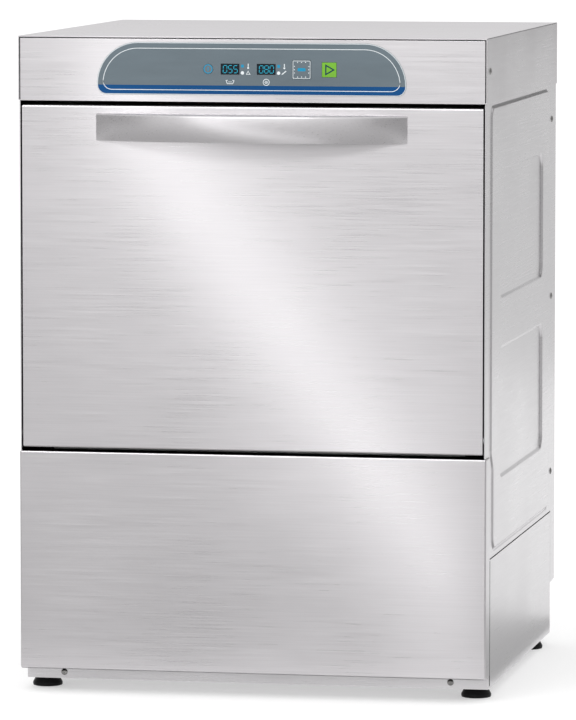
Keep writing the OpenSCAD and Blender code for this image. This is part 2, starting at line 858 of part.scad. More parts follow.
// Solenoid valve whose threaded spigot leaves through the base's rear wall
module inlet_valve() {
    color([0.85, 0.85, 0.82]) {
        box(inlet_x - 18, inlet_x + 18, 508, base_back - sheet - 0.2, 40, 80);
        rod_z(inlet_x, 535, 79, 98, 14);
        rod_y(inlet_x, 550, base_back + spigot_start + EPS, inlet_z, inlet_spigot_r - 1);
        rod_y(inlet_x, base_back + spigot_start, base_back + spigot_end, inlet_z,
            inlet_spigot_r);
        rod_y(inlet_x, 492, 510, inlet_z + 10, 6);
    }
}

// From the tank's drain down to the outlet spigot at the back
module drain_pipe() {
    r = 14;
    color([0.2, 0.2, 0.21]) difference() {
        union() {
            rod_z(drain_x, drain_d, drain_pipe_z, tank_floor - 0.1, r);
            elbow(drain_x, drain_d, drain_pipe_z, r);
            rod_y(drain_x, drain_d, base_back - 8, drain_pipe_z, r);
            rod_y(drain_x, base_back - 9, base_back + spigot_start + EPS, drain_pipe_z,
                drain_spigot_r - 1);
            rod_y(drain_x, base_back + spigot_start, base_back + spigot_end,
                drain_pipe_z, drain_spigot_r);
        }
        rod_z(drain_x, drain_d, tank_floor - 25, tank_floor + EPS, 10.5);
    }
}

// Two peristaltic pumps, for detergent and rinse aid, on one bracket
module dosing_pumps() {
    front = dosing_front;
    color([0.85, 0.83, 0.78]) difference() {
        union() {
            box(-270, -150, front, front + 40, dosing_z - 30, dosing_z + 30);
            for (x = dosing_xs) rod_y(x, front + 39, front + 75, dosing_z, 18);
            box(-225, -195, front + 20, front + 34, foot_h + sheet + 0.1, dosing_z - 29);
        }
        for (x = dosing_xs) {
            rod_y(x, front - EPS, front + 25, dosing_z, 23);
            rod_y(x, front + 24, front + 60, dosing_z, 3 + RUN_FIT);
        }
    }
}

// Carrier with three rollers that squeeze the hose
module dosing_rotor(x) {
    front = dosing_front;
    rollers = 3;
    color([0.75, 0.15, 0.12]) {
        rod_y(x, front + 6, front + 58, dosing_z, 3);
        for (d = [front + 4, front + 20]) rod_y(x, d, d + 3, dosing_z, 18);
        for (i = [1 : rollers]) translate([x, 0, dosing_z])
            rotate([0, i * 360 / rollers, 0]) translate([-x + 14, 0, -dosing_z])
                rod_y(x, front + 6, front + 21, dosing_z, 5);
    }
}

module detergent_rotor() { dosing_rotor(dosing_xs[0]); }
module rinse_aid_rotor() { dosing_rotor(dosing_xs[1]); }

module terminal_box() {
    wall = 2.5;
    low = foot_h + sheet + 0.1;
    color([0.6, 0.62, 0.63]) difference() {
        box(100, 195, 440, 550, low, 92);
        box(100 + wall, 195 - wall, 440 + wall, 550 - wall, low + wall, 92 - wall);
    }
}

// Strain relief for the supply cable, through the base's rear wall
module cable_gland() {
    color([0.08, 0.08, 0.08]) difference() {
        union() {
            rod_y(gland_x, base_back - 14, base_back + 24, gland_z, 10);
            for (d = [base_back - 8, base_back + 0.2])
                translate([gland_x, at_d(d + 6), gland_z]) rotate([90, 0, 0])
                    cylinder(h = 6, r = 14, $fn = 6);
        }
        rod_y(gland_x, base_back - 14 - EPS, base_back + 24 + EPS, gland_z,
            gland_bore_r);
    }
}

module reed_switch() {
    color([0.9, 0.9, 0.88]) box(267, 279, chamber_front + sheet + 0.1, 54, 690, 712);
}

// ---- Door ----

// Ears that carry the hinge pins, with the pins pressed in
module hinge_mounts() {
    pin_r = hinge_pin_d / 2;
    color([0.6, 0.6, 0.62]) both_sides() {
        on_side(bracket_in, bracket_t) {
            translate([hinge_d, hinge_z]) circle(8);
            translate([hinge_d - 6, hinge_z]) square([13, 26]);
            translate([hinge_d - 6, hinge_z + 16]) square([chamber_front - 4.1, 10]);
        }
        rod_x(bracket_in - 1.5, side_in - 0.7, hinge_d, hinge_z, pin_r);
    }
}

module door_outer_skin() {
    pin_hole_r = hinge_pin_d / 2 + RUN_FIT;
    color([0.8, 0.8, 0.8]) difference() {
        box(-door_half, door_half, 0, door_fold, door_bottom, door_top);
        box(-door_half + sheet, door_half - sheet, sheet, door_fold + EPS,
            door_bottom + sheet, door_top - sheet);
        both_sides() rod_x(door_half - 2 * sheet, door_half + EPS, hinge_d, hinge_z,
            pin_hole_r);
    }
}

// Inner pan that faces the chamber, with a flange that joins the outer skin
module door_inner_liner() {
    t = 1;
    flange_bottom = 362;
    flange_half = door_half - sheet - 0.1;
    color([0.76, 0.76, 0.77]) difference() {
        union() {
            box(-liner_half, liner_half, door_fold, door_depth, liner_bottom, liner_top);
            box(-flange_half, flange_half, door_fold, door_fold + t, flange_bottom,
                door_top - sheet - 0.1);
        }
        box(-liner_half + t, liner_half - t, door_fold - EPS, door_depth - t,
            liner_bottom + t, liner_top - t);
    }
}

// Bowed crescent, closed above and open below for the fingers
module door_handle() {
    t = 2;
    half = handle_w / 2;
    bow_r = (half * half + handle_out * handle_out) / (2 * handle_out);
    top = door_top - handle_drop;
    color([0.82, 0.82, 0.82]) difference() {
        translate([0, at_d(bow_r - handle_out), top - handle_h]) difference() {
            cylinder(h = handle_h, r = bow_r, $fn = 200);
            translate([0, 0, -EPS]) cylinder(h = handle_h - t + EPS, r = bow_r - t, $fn = 200);
        }
        box(-2 * bow_r, 2 * bow_r, 0, 3 * bow_r, top - handle_h - EPS, top + EPS);
    }
}

// Plates inside the door's edges, with the arms that the springs pull
module door_levers() {
    pin_hole_r = hinge_pin_d / 2 + RUN_FIT;
    arm_l = norm(spring_hook);
    arm_angle = atan2(spring_hook[1], spring_hook[0]);
    color([0.55, 0.55, 0.57]) both_sides() on_side(lever_in, lever_t) difference() {
        union() {
            translate([sheet + 0.2, hinge_z - 14]) square([door_fold - 2, 46]);
            translate([hinge_d, hinge_z]) rotate(arm_angle) {
                translate([0, -6]) square([arm_l, 12]);
                translate([arm_l, 0]) circle(6);
            }
        }
        translate([hinge_d, hinge_z]) circle(pin_hole_r);
    }
}

// Tension spring between a lever and its anchor, drawn as its outer cylinder
module door_spring() {
    top = hinge_z + spring_hook[1] - 7;
    color([0.4, 0.4, 0.42])
        rod_z(spring_x, hinge_d + spring_hook[0], spring_anchor_z + 4, top, 3.2);
}

module door_spring_right() { door_spring(); }
module door_spring_left() { mirror([1, 0, 0]) door_spring(); }

module door_magnet() {
    color([0.2, 0.2, 0.22]) box(260, 271, 27, door_depth - 1.1, 690, 712);
}

// ---- Dish rack ----

module dish_rack() {
    half = rack_w / 2;
    wall = 4;
    bar = 5;
    pitch = 31;
    front = hub_d - half;
    back = hub_d + half;
    color([0.35, 0.5, 0.7]) {
        // Lower and upper bands
        for (band = [[0, 18], [rack_h - 14, rack_h]]) difference() {
            box(-half, half, front, back, rack_z + band[0], rack_z + band[1]);
            box(-half + wall, half - wall, front + wall, back - wall,
                rack_z + band[0] - EPS, rack_z + band[1] + EPS);
        }
        // Posts between the bands
        for (i = [-4 : 4]) {
            x = i * (half - bar) / 4;
            for (d = [front, back - wall])
                box(x - bar, x + bar, d, d + wall, rack_z + 17, rack_z + rack_h - 13);
            for (side = [-half, half - wall])
                box(side, side + wall, hub_d + x - bar, hub_d + x + bar,
                    rack_z + 17, rack_z + rack_h - 13);
        }
        // Floor grid
        for (i = [-7 : 7]) {
            box(i * pitch - bar / 2, i * pitch + bar / 2, front + 1, back - 1,
                rack_z, rack_z + bar);
            box(-half + 1, half - 1, hub_d + i * pitch - bar / 2,
                hub_d + i * pitch + bar / 2, rack_z, rack_z + bar);
        }
    }
}

base_chassis();
foot_front_left();
foot_front_right();
foot_rear_left();
foot_rear_right();
lower_front_panel();
front_panel_screws();
top_panel();
side_panel_left();
side_panel_right();
rear_panel();
cabinet_screws();
control_overlay();
display_windows();
control_housing();
control_board();
power_key();
programme_key();
start_key();
chamber_shell();
chamber_back_wall();
wash_tank();
door_gasket();
rack_guide_left();
rack_guide_right();
tank_filters();
sump_filter();
tank_heater();
lower_arm_manifold();
upper_arm_hub();
wash_feed_pipe();
lower_wash_arm();
lower_rinse_arm();
upper_wash_arm();
upper_rinse_arm();
standpipe();
pump_housing();
pump_motor();
pump_rotor();
suction_hose();
rinse_boiler();
boiler_heater();
rinse_pipe();
inlet_valve();
drain_pipe();
dosing_pumps();
detergent_rotor();
rinse_aid_rotor();
terminal_box();
cable_gland();
reed_switch();
hinge_mounts();
door_spring_left();
door_spring_right();
door_outer_skin();
door_inner_liner();
door_handle();
door_levers();
door_magnet();
dish_rack();
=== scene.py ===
"""Looks for the undercounter dishwasher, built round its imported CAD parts."""

import json
import math

import bmesh
import bpy
from mathutils import Matrix, Vector
from mathutils.geometry import delaunay_2d_cdt

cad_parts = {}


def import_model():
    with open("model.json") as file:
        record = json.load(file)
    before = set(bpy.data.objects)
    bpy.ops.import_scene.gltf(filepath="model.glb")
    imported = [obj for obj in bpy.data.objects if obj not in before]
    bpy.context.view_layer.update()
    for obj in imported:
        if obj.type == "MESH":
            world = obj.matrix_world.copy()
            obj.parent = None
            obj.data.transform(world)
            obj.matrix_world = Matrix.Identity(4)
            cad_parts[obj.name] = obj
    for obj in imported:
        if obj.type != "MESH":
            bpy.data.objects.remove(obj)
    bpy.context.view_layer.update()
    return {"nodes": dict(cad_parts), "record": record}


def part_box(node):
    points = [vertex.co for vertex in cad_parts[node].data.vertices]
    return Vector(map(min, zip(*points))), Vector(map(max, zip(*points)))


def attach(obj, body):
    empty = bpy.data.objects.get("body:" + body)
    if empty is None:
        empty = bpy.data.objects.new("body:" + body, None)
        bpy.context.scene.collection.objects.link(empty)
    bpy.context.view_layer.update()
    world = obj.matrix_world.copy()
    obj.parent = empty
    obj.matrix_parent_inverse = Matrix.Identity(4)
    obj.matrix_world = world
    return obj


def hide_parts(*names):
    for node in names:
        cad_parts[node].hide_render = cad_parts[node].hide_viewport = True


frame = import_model()

MM = 0.001
RECORD = frame["record"]
BODY_OF = {n: b for b, ns in RECORD["behaviour"]["bodies"].items() for n in ns}
SLOT_OF = {s["node"]: s["material_slot"] for s in RECORD["subparts"]}
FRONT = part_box("top_panel")[0].y
FLAT = 0.06  # thickness of a print in millimetres


def at(x, d, z):
    """A point from millimetres: x to the right, d behind the front plane, z up."""
    return Vector((x * MM, FRONT + d * MM, z * MM))


def span(node):
    """A CAD node's box as (x0, x1, d0, d1, z0, z1) in millimetres."""
    lo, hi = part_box(node)
    return (lo.x / MM, hi.x / MM, (lo.y - FRONT) / MM, (hi.y - FRONT) / MM, lo.z / MM, hi.z / MM)


# ---- Node materials ----


class Shade:
    """One node material round a Principled shader."""

    def __init__(self, name, metallic=0.0, **uniform):
        self.mat = bpy.data.materials.new(name)
        self.mat.use_nodes = True
        self.tree = self.mat.node_tree
        self.tree.nodes.clear()
        out = self.tree.nodes.new("ShaderNodeOutputMaterial")
        self.shader = self.tree.nodes.new("ShaderNodeBsdfPrincipled")
        self.tree.links.new(self.shader.outputs[0], out.inputs[0])
        self.shader.inputs["Metallic"].default_value = metallic
        for socket, value in uniform.items():
            self.shader.inputs[socket.replace("_", " ")].default_value = value

    def add(self, kind, inputs=None, out=0, **props):
        node = self.tree.nodes.new(kind)
        for key, value in props.items():
            setattr(node, key, value)
        for key, value in (inputs or {}).items():
            self.put(node.inputs[key], value)
        return node.outputs[out]

    def put(self, socket, value):
        if isinstance(value, bpy.types.NodeSocket):
            self.tree.links.new(value, socket)
        else:
            socket.default_value = value

    def math(self, operation, a, b=0.0):
        return self.add("ShaderNodeMath", {0: a, 1: b}, operation=operation)

    def place(self):
        """Position in the part's own frame, so the pattern moves with the piece."""
        return self.add("ShaderNodeTexCoord", out="Object")

    def noise(self, scale, detail=3.0, rough=0.5, stretch=(1, 1, 1), where=None):
        vector = self.add(
            "ShaderNodeMapping", {"Vector": where or self.place(), "Scale": stretch}
        )
        inputs = {"Vector": vector, "Scale": scale, "Detail": detail, "Roughness": rough}
        return self.add("ShaderNodeTexNoise", inputs)

    def remap(self, value, low, high, start=0.3, end=0.7):
        inputs = {"Value": value, "From Min": start, "From Max": end, "To Min": low, "To Max": high}
        return self.add("ShaderNodeMapRange", inputs)

    def blend(self, factor, a, b):
        node = self.tree.nodes.new("ShaderNodeMix")
        node.data_type = "RGBA"
        self.put(node.inputs[0], factor)
        self.put(node.inputs[6], a)
        self.put(node.inputs[7], b)
        return node.outputs[2]

    def edges(self, radius_mm):
        """Near 1 along edges sharper than the radius, and 0 on flat faces."""
        soft = self.add("ShaderNodeBevel", {"Radius": radius_mm * MM}, samples=4)
        true = self.add("ShaderNodeNewGeometry", out="Normal")
        dot = self.add("ShaderNodeVectorMath", {0: soft, 1: true}, out="Value", operation="DOT_PRODUCT")
        return self.remap(dot, 1.0, 0.0, 0.75, 0.98)

    def finish(self, colour, roughness, height=None, depth_mm=0.02, strength=0.3):
        self.put(self.shader.inputs["Base Color"], colour)
        self.put(self.shader.inputs["Roughness"], roughness)
        if height is not None:
            inputs = {"Height": height, "Strength": strength, "Distance": depth_mm * MM}
            self.put(self.shader.inputs["Normal"], self.add("ShaderNodeBump", inputs))
        return self.mat


def rgb(r, g, b):
    return (r, g, b, 1.0)


def scaled(colour, factor):
    return rgb(*(min(1.0, c * factor) for c in colour[:3]))


def grain_frame(shade):
    """Position with its long grain first: along X, or along Y on faces that look sideways."""
    place = shade.add("ShaderNodeSeparateXYZ", {0: shade.place()})
    x, y, z = (place.node.outputs[i] for i in range(3))
    normal = shade.add("ShaderNodeSeparateXYZ", {0: shade.add("ShaderNodeTexCoord", out="Normal")})
    side = shade.math("GREATER_THAN", shade.math("ABSOLUTE", normal), 0.7)
    along = shade.add("ShaderNodeMix", {0: side, 2: x, 3: y})
    across = shade.add("ShaderNodeMix", {0: side, 2: y, 3: x})
    return shade.add("ShaderNodeCombineXYZ", {0: along, 1: across, 2: z})


def cross_grain(shade):
    """Direction across the hairlines, in which brushed steel spreads a reflection."""
    normal = shade.add("ShaderNodeSeparateXYZ", {0: shade.add("ShaderNodeTexCoord", out="Normal")})
    level = shade.math("GREATER_THAN", shade.math("ABSOLUTE", normal.node.outputs[2]), 0.7)
    across = shade.add("ShaderNodeCombineXYZ", {1: level, 2: shade.math("SUBTRACT", 1.0, level)})
    return shade.add("ShaderNodeVectorTransform", {0: across}, vector_type="VECTOR",
                     convert_from="OBJECT", convert_to="WORLD")


def brushed_steel(name, tone, roughness, contrast):
    """Sheet steel with hairlines, short faint strokes, hand marks, and bright edges that are partly wear
    and partly painted highlight.
    """
    shade = Shade(name, metallic=1.0, Anisotropic=0.72)
    grain = grain_frame(shade)
    shade.put(shade.shader.inputs["Tangent"], cross_grain(shade))
    hair = shade.noise(1.0, 2.0, 0.5, (14, 1500, 1500), grain)
    stroke_band = shade.noise(1.0, 3.0, 0.6, (7, 620, 620), grain)
    cloud = shade.noise(6.0, 4.0)
    streaks = shade.blend(0.3, hair, stroke_band)
    light = scaled(tone, 1 + 0.06 * contrast)
    dark = scaled(tone, 1 - 0.06 * contrast)
    colour = shade.blend(shade.remap(streaks, 0.0, 1.0, 0.36, 0.64), dark, light)
    colour = shade.blend(shade.remap(cloud, 0.0, 0.2), colour, scaled(tone, 0.96))
    # Edges brightened to 1.5 times the tone: partly wear, partly a painted highlight along the folds.
    colour = shade.blend(shade.math("MULTIPLY", shade.edges(0.8), 0.8), colour, scaled(tone, 1.5))
    rough = shade.remap(streaks, roughness - 0.05, roughness + 0.05)
    rough = shade.math("ADD", rough, shade.remap(cloud, -0.02, 0.03))
    return shade.finish(colour, rough, streaks, 0.01, 0.07 * contrast)


def plain_steel(name, tone, roughness):
    """Mill-finish steel inside the cabinet: faint rolling lines, a water film and rub marks."""
    shade = Shade(name, metallic=1.0)
    grain = grain_frame(shade)
    roll = shade.noise(1.0, 3.0, 0.6, (7, 420, 420), grain)
    film = shade.noise(9.0, 2.0, 0.4)
    rubs = shade.noise(260.0, 2.0, 0.5)
    colour = shade.blend(shade.remap(roll, 0.0, 1.0), scaled(tone, 0.94), scaled(tone, 1.04))
    colour = shade.blend(shade.math("MULTIPLY", film, 0.25), colour, scaled(tone, 0.9))
    colour = shade.blend(shade.math("MULTIPLY", shade.edges(0.7), 0.5), colour, scaled(tone, 1.2))
    rough = shade.remap(film, roughness - 0.03, roughness + 0.04, 0.0, 1.0)
    return shade.finish(colour, rough, rubs, 0.015, 0.1)


def moulded(name, colour, roughness, grain_mm=0.35, bump=0.2, dusty=0.14, **uniform):
    """Moulded plastic or rubber: fine spark-eroded grain, uneven gloss, rubbed edges."""
    shade = Shade(name, **uniform)
    grain = shade.noise(1.0 / (grain_mm * MM), 2.0)
    cloud = shade.noise(28.0, 4.0, 0.6)
    dust = shade.noise(9.0, 5.0, 0.65)
    tint = shade.blend(shade.remap(cloud, 0.0, 1.0), scaled(colour, 0.86), scaled(colour, 1.12))
    powder = rgb(*(c * 0.7 + 0.12 for c in colour[:3]))
    tint = shade.blend(shade.remap(dust, 0.0, dusty, 0.45, 0.8), tint, powder)
    worn = rgb(*(min(1.0, c * 1.3 + 0.02) for c in colour[:3]))
    tint = shade.blend(shade.math("MULTIPLY", shade.edges(0.6), 0.6), tint, worn)
    rough = shade.remap(cloud, roughness - 0.07, roughness + 0.08)
    rough = shade.math("SUBTRACT", rough, shade.math("MULTIPLY", shade.edges(0.6), 0.1))
    return shade.finish(tint, rough, grain, 0.03, bump)


def cast_metal(name, colour, roughness):
    """Cast or drawn metal: pitted skin, dull film and bright rubbed edges."""
    shade = Shade(name, metallic=1.0)
    pits = shade.noise(1400.0, 3.0, 0.6)
    film = shade.noise(45.0, 5.0, 0.6)
    tint = shade.blend(shade.remap(film, 0.0, 1.0), scaled(colour, 0.72), scaled(colour, 1.1))
    tint = shade.blend(shade.math("MULTIPLY", shade.edges(0.7), 0.7), tint, scaled(colour, 1.5))
    rough = shade.remap(film, roughness + 0.12, roughness - 0.08)
    return shade.finish(tint, rough, pits, 0.05, 0.35)


def printed_film(name, colour, roughness):
    """Satin polyester film over the controls: fine texture, faint wipe marks, finger gloss."""
    shade = Shade(name, Specular_IOR_Level=0.35)
    texture = shade.noise(3300.0, 2.0)
    wipes = shade.noise(1.0, 4.0, 0.6, (9, 9, 55))
    touch = shade.noise(40.0, 3.0)
    tint = shade.blend(shade.remap(wipes, 0.0, 1.0), scaled(colour, 0.94), scaled(colour, 1.07))
    tint = shade.blend(shade.math("MULTIPLY", shade.edges(0.25), 0.7), tint, rgb(0.75, 0.78, 0.8))
    rough = shade.remap(touch, roughness - 0.06, roughness + 0.06)
    return shade.finish(tint, rough, texture, 0.01, 0.15)


def ink(name, colour, glow=0.0):
    """Screen print on the film, slightly uneven in cover and gloss."""
    shade = Shade(name, Specular_IOR_Level=0.12, Emission_Strength=glow)
    cover = shade.noise(900.0, 3.0)
    tint = shade.blend(shade.remap(cover, 0.0, 1.0), scaled(colour, 0.9), scaled(colour, 1.08))
    if glow:
        shade.put(shade.shader.inputs["Emission Color"], tint)
    return shade.finish(tint, shade.remap(cover, 0.32, 0.45), cover, 0.01, 0.1)


def display_glass(name):
    """Dark tinted window with a trace of dust and fine wipe scratches."""
    shade = Shade(name, Specular_IOR_Level=0.1)
    wipes = shade.noise(1.0, 3.0, 0.5, (40, 40, 900))
    dust = shade.noise(700.0, 3.0, 0.7)
    tint = shade.blend(shade.remap(wipes, 0.0, 1.0), rgb(0.006, 0.01, 0.014), rgb(0.014, 0.02, 0.026))
    tint = shade.blend(shade.remap(dust, 0.0, 0.08, 0.6, 0.8), tint, rgb(0.3, 0.32, 0.34))
    return shade.finish(tint, shade.remap(wipes, 0.12, 0.22), dust, 0.004, 0.1)


def circuit_board(name):
    """Solder mask over crossing tracks and small round pads."""
    shade = Shade(name)
    inputs = {"Vector": shade.place(), "Scale": 260.0, "Distortion": 6.0}
    tracks = shade.add("ShaderNodeTexWave", inputs)
    pads = shade.add("ShaderNodeTexVoronoi", {"Vector": shade.place(), "Scale": 420.0})
    copper = shade.remap(tracks, 0.0, 1.0, 0.55, 0.65)
    tint = shade.blend(copper, rgb(0.01, 0.12, 0.04), rgb(0.03, 0.24, 0.08))
    tint = shade.blend(shade.remap(pads, 1.0, 0.0, 0.12, 0.16), tint, rgb(0.6, 0.58, 0.5))
    return shade.finish(tint, shade.remap(tracks, 0.35, 0.5), tracks, 0.04, 0.3)


def heat_tinted(name, colour):
    """Heater sheath: alloy with straw heat tints and a chalky film."""
    shade = Shade(name, metallic=1.0)
    heat = shade.noise(22.0, 4.0)
    scale = shade.noise(420.0, 4.0, 0.7)
    tint = shade.blend(shade.remap(heat, 0.0, 1.0), colour, rgb(0.42, 0.33, 0.2))
    tint = shade.blend(shade.remap(scale, 0.0, 0.5, 0.52, 0.7), tint, rgb(0.7, 0.69, 0.66))
    return shade.finish(tint, shade.remap(scale, 0.35, 0.6), scale, 0.05, 0.4)


STEEL = rgb(0.545, 0.53, 0.543)
FILM = rgb(0.095, 0.125, 0.145)
MATERIALS = {
    "steel_brushed": brushed_steel("steel_brushed", STEEL, 0.31, 0.6),
    "steel_side": brushed_steel("steel_side", rgb(0.55, 0.538, 0.55), 0.3, 0.12),
    # Painted shade: near-black dull steel on the handle's inner faces, standing for the shade inside and
    # under the handle.
    "painted_shade_steel": cast_metal("painted_shade_steel", rgb(0.05, 0.05, 0.052), 0.5),
    # Painted shade: near-black dull sheet laid in the seams and on the base's tongue, standing for the
    # shadow in the gaps between sheets.
    "painted_gap_shade": moulded("painted_gap_shade", rgb(0.02, 0.02, 0.022), 0.6, 0.5, 0.3, 0.02,
                            Specular_IOR_Level=0.2),
    "steel_inner": plain_steel("steel_inner", rgb(0.6, 0.6, 0.6), 0.28),
    "screw_steel": cast_metal("screw_steel", rgb(0.27, 0.265, 0.26), 0.32),
    "overlay_film": printed_film("overlay_film", FILM, 0.42),
    "display_glass": display_glass("display_glass"),
    "key_blue": printed_film("key_blue", FILM, 0.4),
    "key_slate": printed_film("key_slate", FILM, 0.4),
    "key_green": printed_film("key_green", rgb(0.13, 0.36, 0.01), 0.38),
    "black_plastic": moulded("black_plastic", rgb(0.016, 0.016, 0.018), 0.45, dusty=0.05,
                             Specular_IOR_Level=0.3),
    "light_plastic": moulded("light_plastic", rgb(0.68, 0.67, 0.62), 0.42),
    "grey_plastic": moulded("grey_plastic", rgb(0.2, 0.21, 0.22), 0.46),
    "board_green": circuit_board("board_green"),
    "rubber_black": moulded("rubber_black", rgb(0.004, 0.004, 0.0045), 0.42, 0.5, 0.25, 0.015,
                            Specular_IOR_Level=0.12),
    "motor_cast": cast_metal("motor_cast", rgb(0.4, 0.41, 0.42), 0.45),
    "heater_alloy": heat_tinted("heater_alloy", rgb(0.36, 0.35, 0.36)),
    "brass_flange": cast_metal("brass_flange", rgb(0.68, 0.5, 0.22), 0.3),
    "copper_pipe": cast_metal("copper_pipe", rgb(0.7, 0.33, 0.2), 0.28),
    "rack_blue": moulded("rack_blue", rgb(0.04, 0.13, 0.33), 0.42),
    "rotor_red": moulded("rotor_red", rgb(0.5, 0.03, 0.02), 0.4),
    "pipe_blue": moulded("pipe_blue", rgb(0.03, 0.12, 0.3), 0.4),
    "spring_steel": cast_metal("spring_steel", rgb(0.42, 0.42, 0.44), 0.32),
    "magnet_dark": cast_metal("magnet_dark", rgb(0.06, 0.06, 0.065), 0.5),
}
INKS = {
    "white": ink("ink_white", rgb(0.66, 0.7, 0.72)),
    # Painted highlight: light grey ink for the thin ring along the overlay's edge, standing for the edge's
    # highlight.
    "edge": ink("ink_painted_highlight", rgb(0.5, 0.54, 0.56)),
    "blue": ink("ink_blue", rgb(0.0, 0.055, 0.18)),
    "navy": ink("ink_navy", rgb(0.005, 0.03, 0.06)),
    "ring": ink("ink_ring", rgb(0.01, 0.22, 0.38), 0.08),
    "glow": ink("ink_glow", rgb(0.02, 0.33, 0.46), 0.3),
}


# ---- Pieces ----

REPLACED = set()


def make_piece(name, bm, body, material, smooth_deg=32):
    mesh = bpy.data.meshes.new(name)
    bm.to_mesh(mesh)
    bm.free()
    obj = bpy.data.objects.new(name, mesh)
    bpy.context.scene.collection.objects.link(obj)
    mesh.materials.append(material)
    mesh.shade_smooth()
    mesh.set_sharp_from_angle(angle=math.radians(smooth_deg))
    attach(obj, body)
    return obj


def piece_for(node, bm, smooth_deg=32):
    """A piece that stands for a CAD node, on its body and in its material."""
    slot = SLOT_OF[node]
    obj = make_piece(node + "_look", bm, BODY_OF[node], MATERIALS[slot], smooth_deg)
    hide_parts(node)
    REPLACED.add(node)
    return obj


def even_normals(obj):
    obj.modifiers.new("normals", "WEIGHTED_NORMAL").keep_sharp = True


def clean_copy(node):
    """The CAD mesh with its split vertices joined and its flat faces whole."""
    bm = bmesh.new()
    bm.from_mesh(frame["nodes"][node].data)
    bmesh.ops.remove_doubles(bm, verts=bm.verts, dist=2e-6)
    bmesh.ops.dissolve_limit(bm, angle_limit=math.radians(0.5), verts=bm.verts, edges=bm.edges)
    return bm


def is_fold(edge, lo, hi):
    """True on a bent corner of sheet: an outer edge between two broad faces."""
    a, b = edge.verts[0].co, edge.verts[1].co
    sides = 0
    for axis in range(3):
        for limit in (lo[axis], hi[axis]):
            if abs(a[axis] - limit) < 2e-5 and abs(b[axis] - limit) < 2e-5:
                sides += 1
    length = edge.calc_length()
    broad = all(f.calc_area() / length > 8 * MM for f in edge.link_faces)
    return sides >= 2 and broad


GAP_SHADE_INDEX = 1  # material slot of the near-black painted gap shade on a piece that has seams
SEAM_DEEP = 0.9
TONGUE_H = 14  # height of the base's joggled tongue above the side seam


def on_face(face, axis, level):
    """True for a face that lies on an outer plane of the part."""
    outward = face.normal[axis] * math.copysign(1, level)
    return outward > 0.999 and abs(face.calc_center_median()[axis] - level) < 1e-5


def cut_face(bm, axis, level, cut_axis, limit):
    """Cuts an upright outer face along a plane across cut_axis."""
    faces = [f for f in bm.faces if on_face(f, axis, level)]
    edges = list(dict.fromkeys(e for f in faces for e in f.edges))
    verts = list(dict.fromkeys(v for f in faces for v in f.verts))
    point = Vector()
    point[axis] = level
    point[cut_axis] = limit
    normal = Vector()
    normal[cut_axis] = 1
    bmesh.ops.bisect_plane(bm, geom=faces + edges + verts, plane_co=point, plane_no=normal)


def press_seams(bm, axis, level, strips, deep):
    """Sinks strips of an upright outer face and paints them near-black, a painted shade standing for the
    gap between the sheets.

    A strip is (u0, u1, z0, z1) in metres, where u is the face's own level axis.
    """
    along = 1 - axis
    for u0, u1, z0, z1 in strips:
        for cut_axis, limit in ((along, u0), (along, u1), (2, z0), (2, z1)):
            cut_face(bm, axis, level, cut_axis, limit)
    sunk = []
    for f in bm.faces:
        middle = f.calc_center_bounds()
        inside = any(u0 < middle[along] < u1 and z0 < middle.z < z1 for u0, u1, z0, z1 in strips)
        if inside and on_face(f, axis, level):
            sunk.append(f)
    pressed = bmesh.ops.extrude_face_region(bm, geom=sunk)
    moved = [v for v in pressed["geom"] if isinstance(v, bmesh.types.BMVert)]
    inward = Vector()
    inward[axis] = -math.copysign(deep * MM, level)
    bmesh.ops.translate(bm, verts=moved, vec=inward)
    bmesh.ops.delete(bm, geom=sunk, context="FACES")
    for v in moved:
        for f in v.link_faces:
            f.material_index = GAP_SHADE_INDEX
    bmesh.ops.dissolve_degenerate(bm, dist=2e-6, edges=bm.edges)


def top_seams(bm):
    """The joints round the front of the top panel, along its top fold and down both corners, sunk and
    painted near-black as painted shade.
    """
    x0, x1, _, _, z0, z1 = (v * MM for v in span("top_panel"))
    fold = 1.3 * MM
    wide = 1.2 * MM
    high = z1 - 1.7 * MM
    strips = [(x0 + fold, x1 - fold, high - 1.3 * MM, high)]
    for near in (x0 + fold, x1 - fold - wide):
        strips.append((near, near + wide, z0 + fold, high))
    press_seams(bm, 1, FRONT, strips, SEAM_DEEP)


def base_seams(bm):
    """The shadow gap behind the lower front panel's fold and the tongue in the side seam, both painted
    near-black as painted shade.
    """
    x0, x1, d0, _, z0, z1 = span("base_chassis")
    seam_z = z1 - TONGUE_H - 1
    gap_start = d0 + 7
    gap_end = gap_start + 5.5
    strip = (FRONT + gap_start * MM, FRONT + gap_end * MM, (z0 + 3) * MM, (seam_z - 1) * MM)
    for level in (x0 * MM, x1 * MM):
        press_seams(bm, 0, level, [strip], SEAM_DEEP)
    for f in bm.faces:
        if abs(f.normal.x) > 0.9 and f.calc_center_median().z > seam_z * MM:
            # The tongue behind the side seam is painted near-black: painted shade of the gap.
            f.material_index = GAP_SHADE_INDEX


def refine(node, edge, fold=0.0, segments=3, detail=None):
    """Stands for a CAD node with the same shape, its edges rounded and its folds bent."""
    bm = clean_copy(node)
    if detail:
        detail(bm)
    lo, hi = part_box(node)
    weight = bm.edges.layers.float.new("bevel_weight_edge")
    widest = max(edge, fold)
    for e in bm.edges:
        if e.is_manifold and e.calc_face_angle() > math.radians(35):
            e[weight] = (fold if fold and is_fold(e, lo, hi) else edge) / widest
    obj = piece_for(node, bm)
    if detail:
        # Second slot: the near-black painted shade in the seams.
        obj.data.materials.append(MATERIALS["painted_gap_shade"])
    bevel = obj.modifiers.new("rounding", "BEVEL")
    bevel.limit_method = "WEIGHT"
    bevel.width = widest * MM
    bevel.segments = 4 if fold else segments
    bevel.use_clamp_overlap = not fold
    even_normals(obj)
    return obj


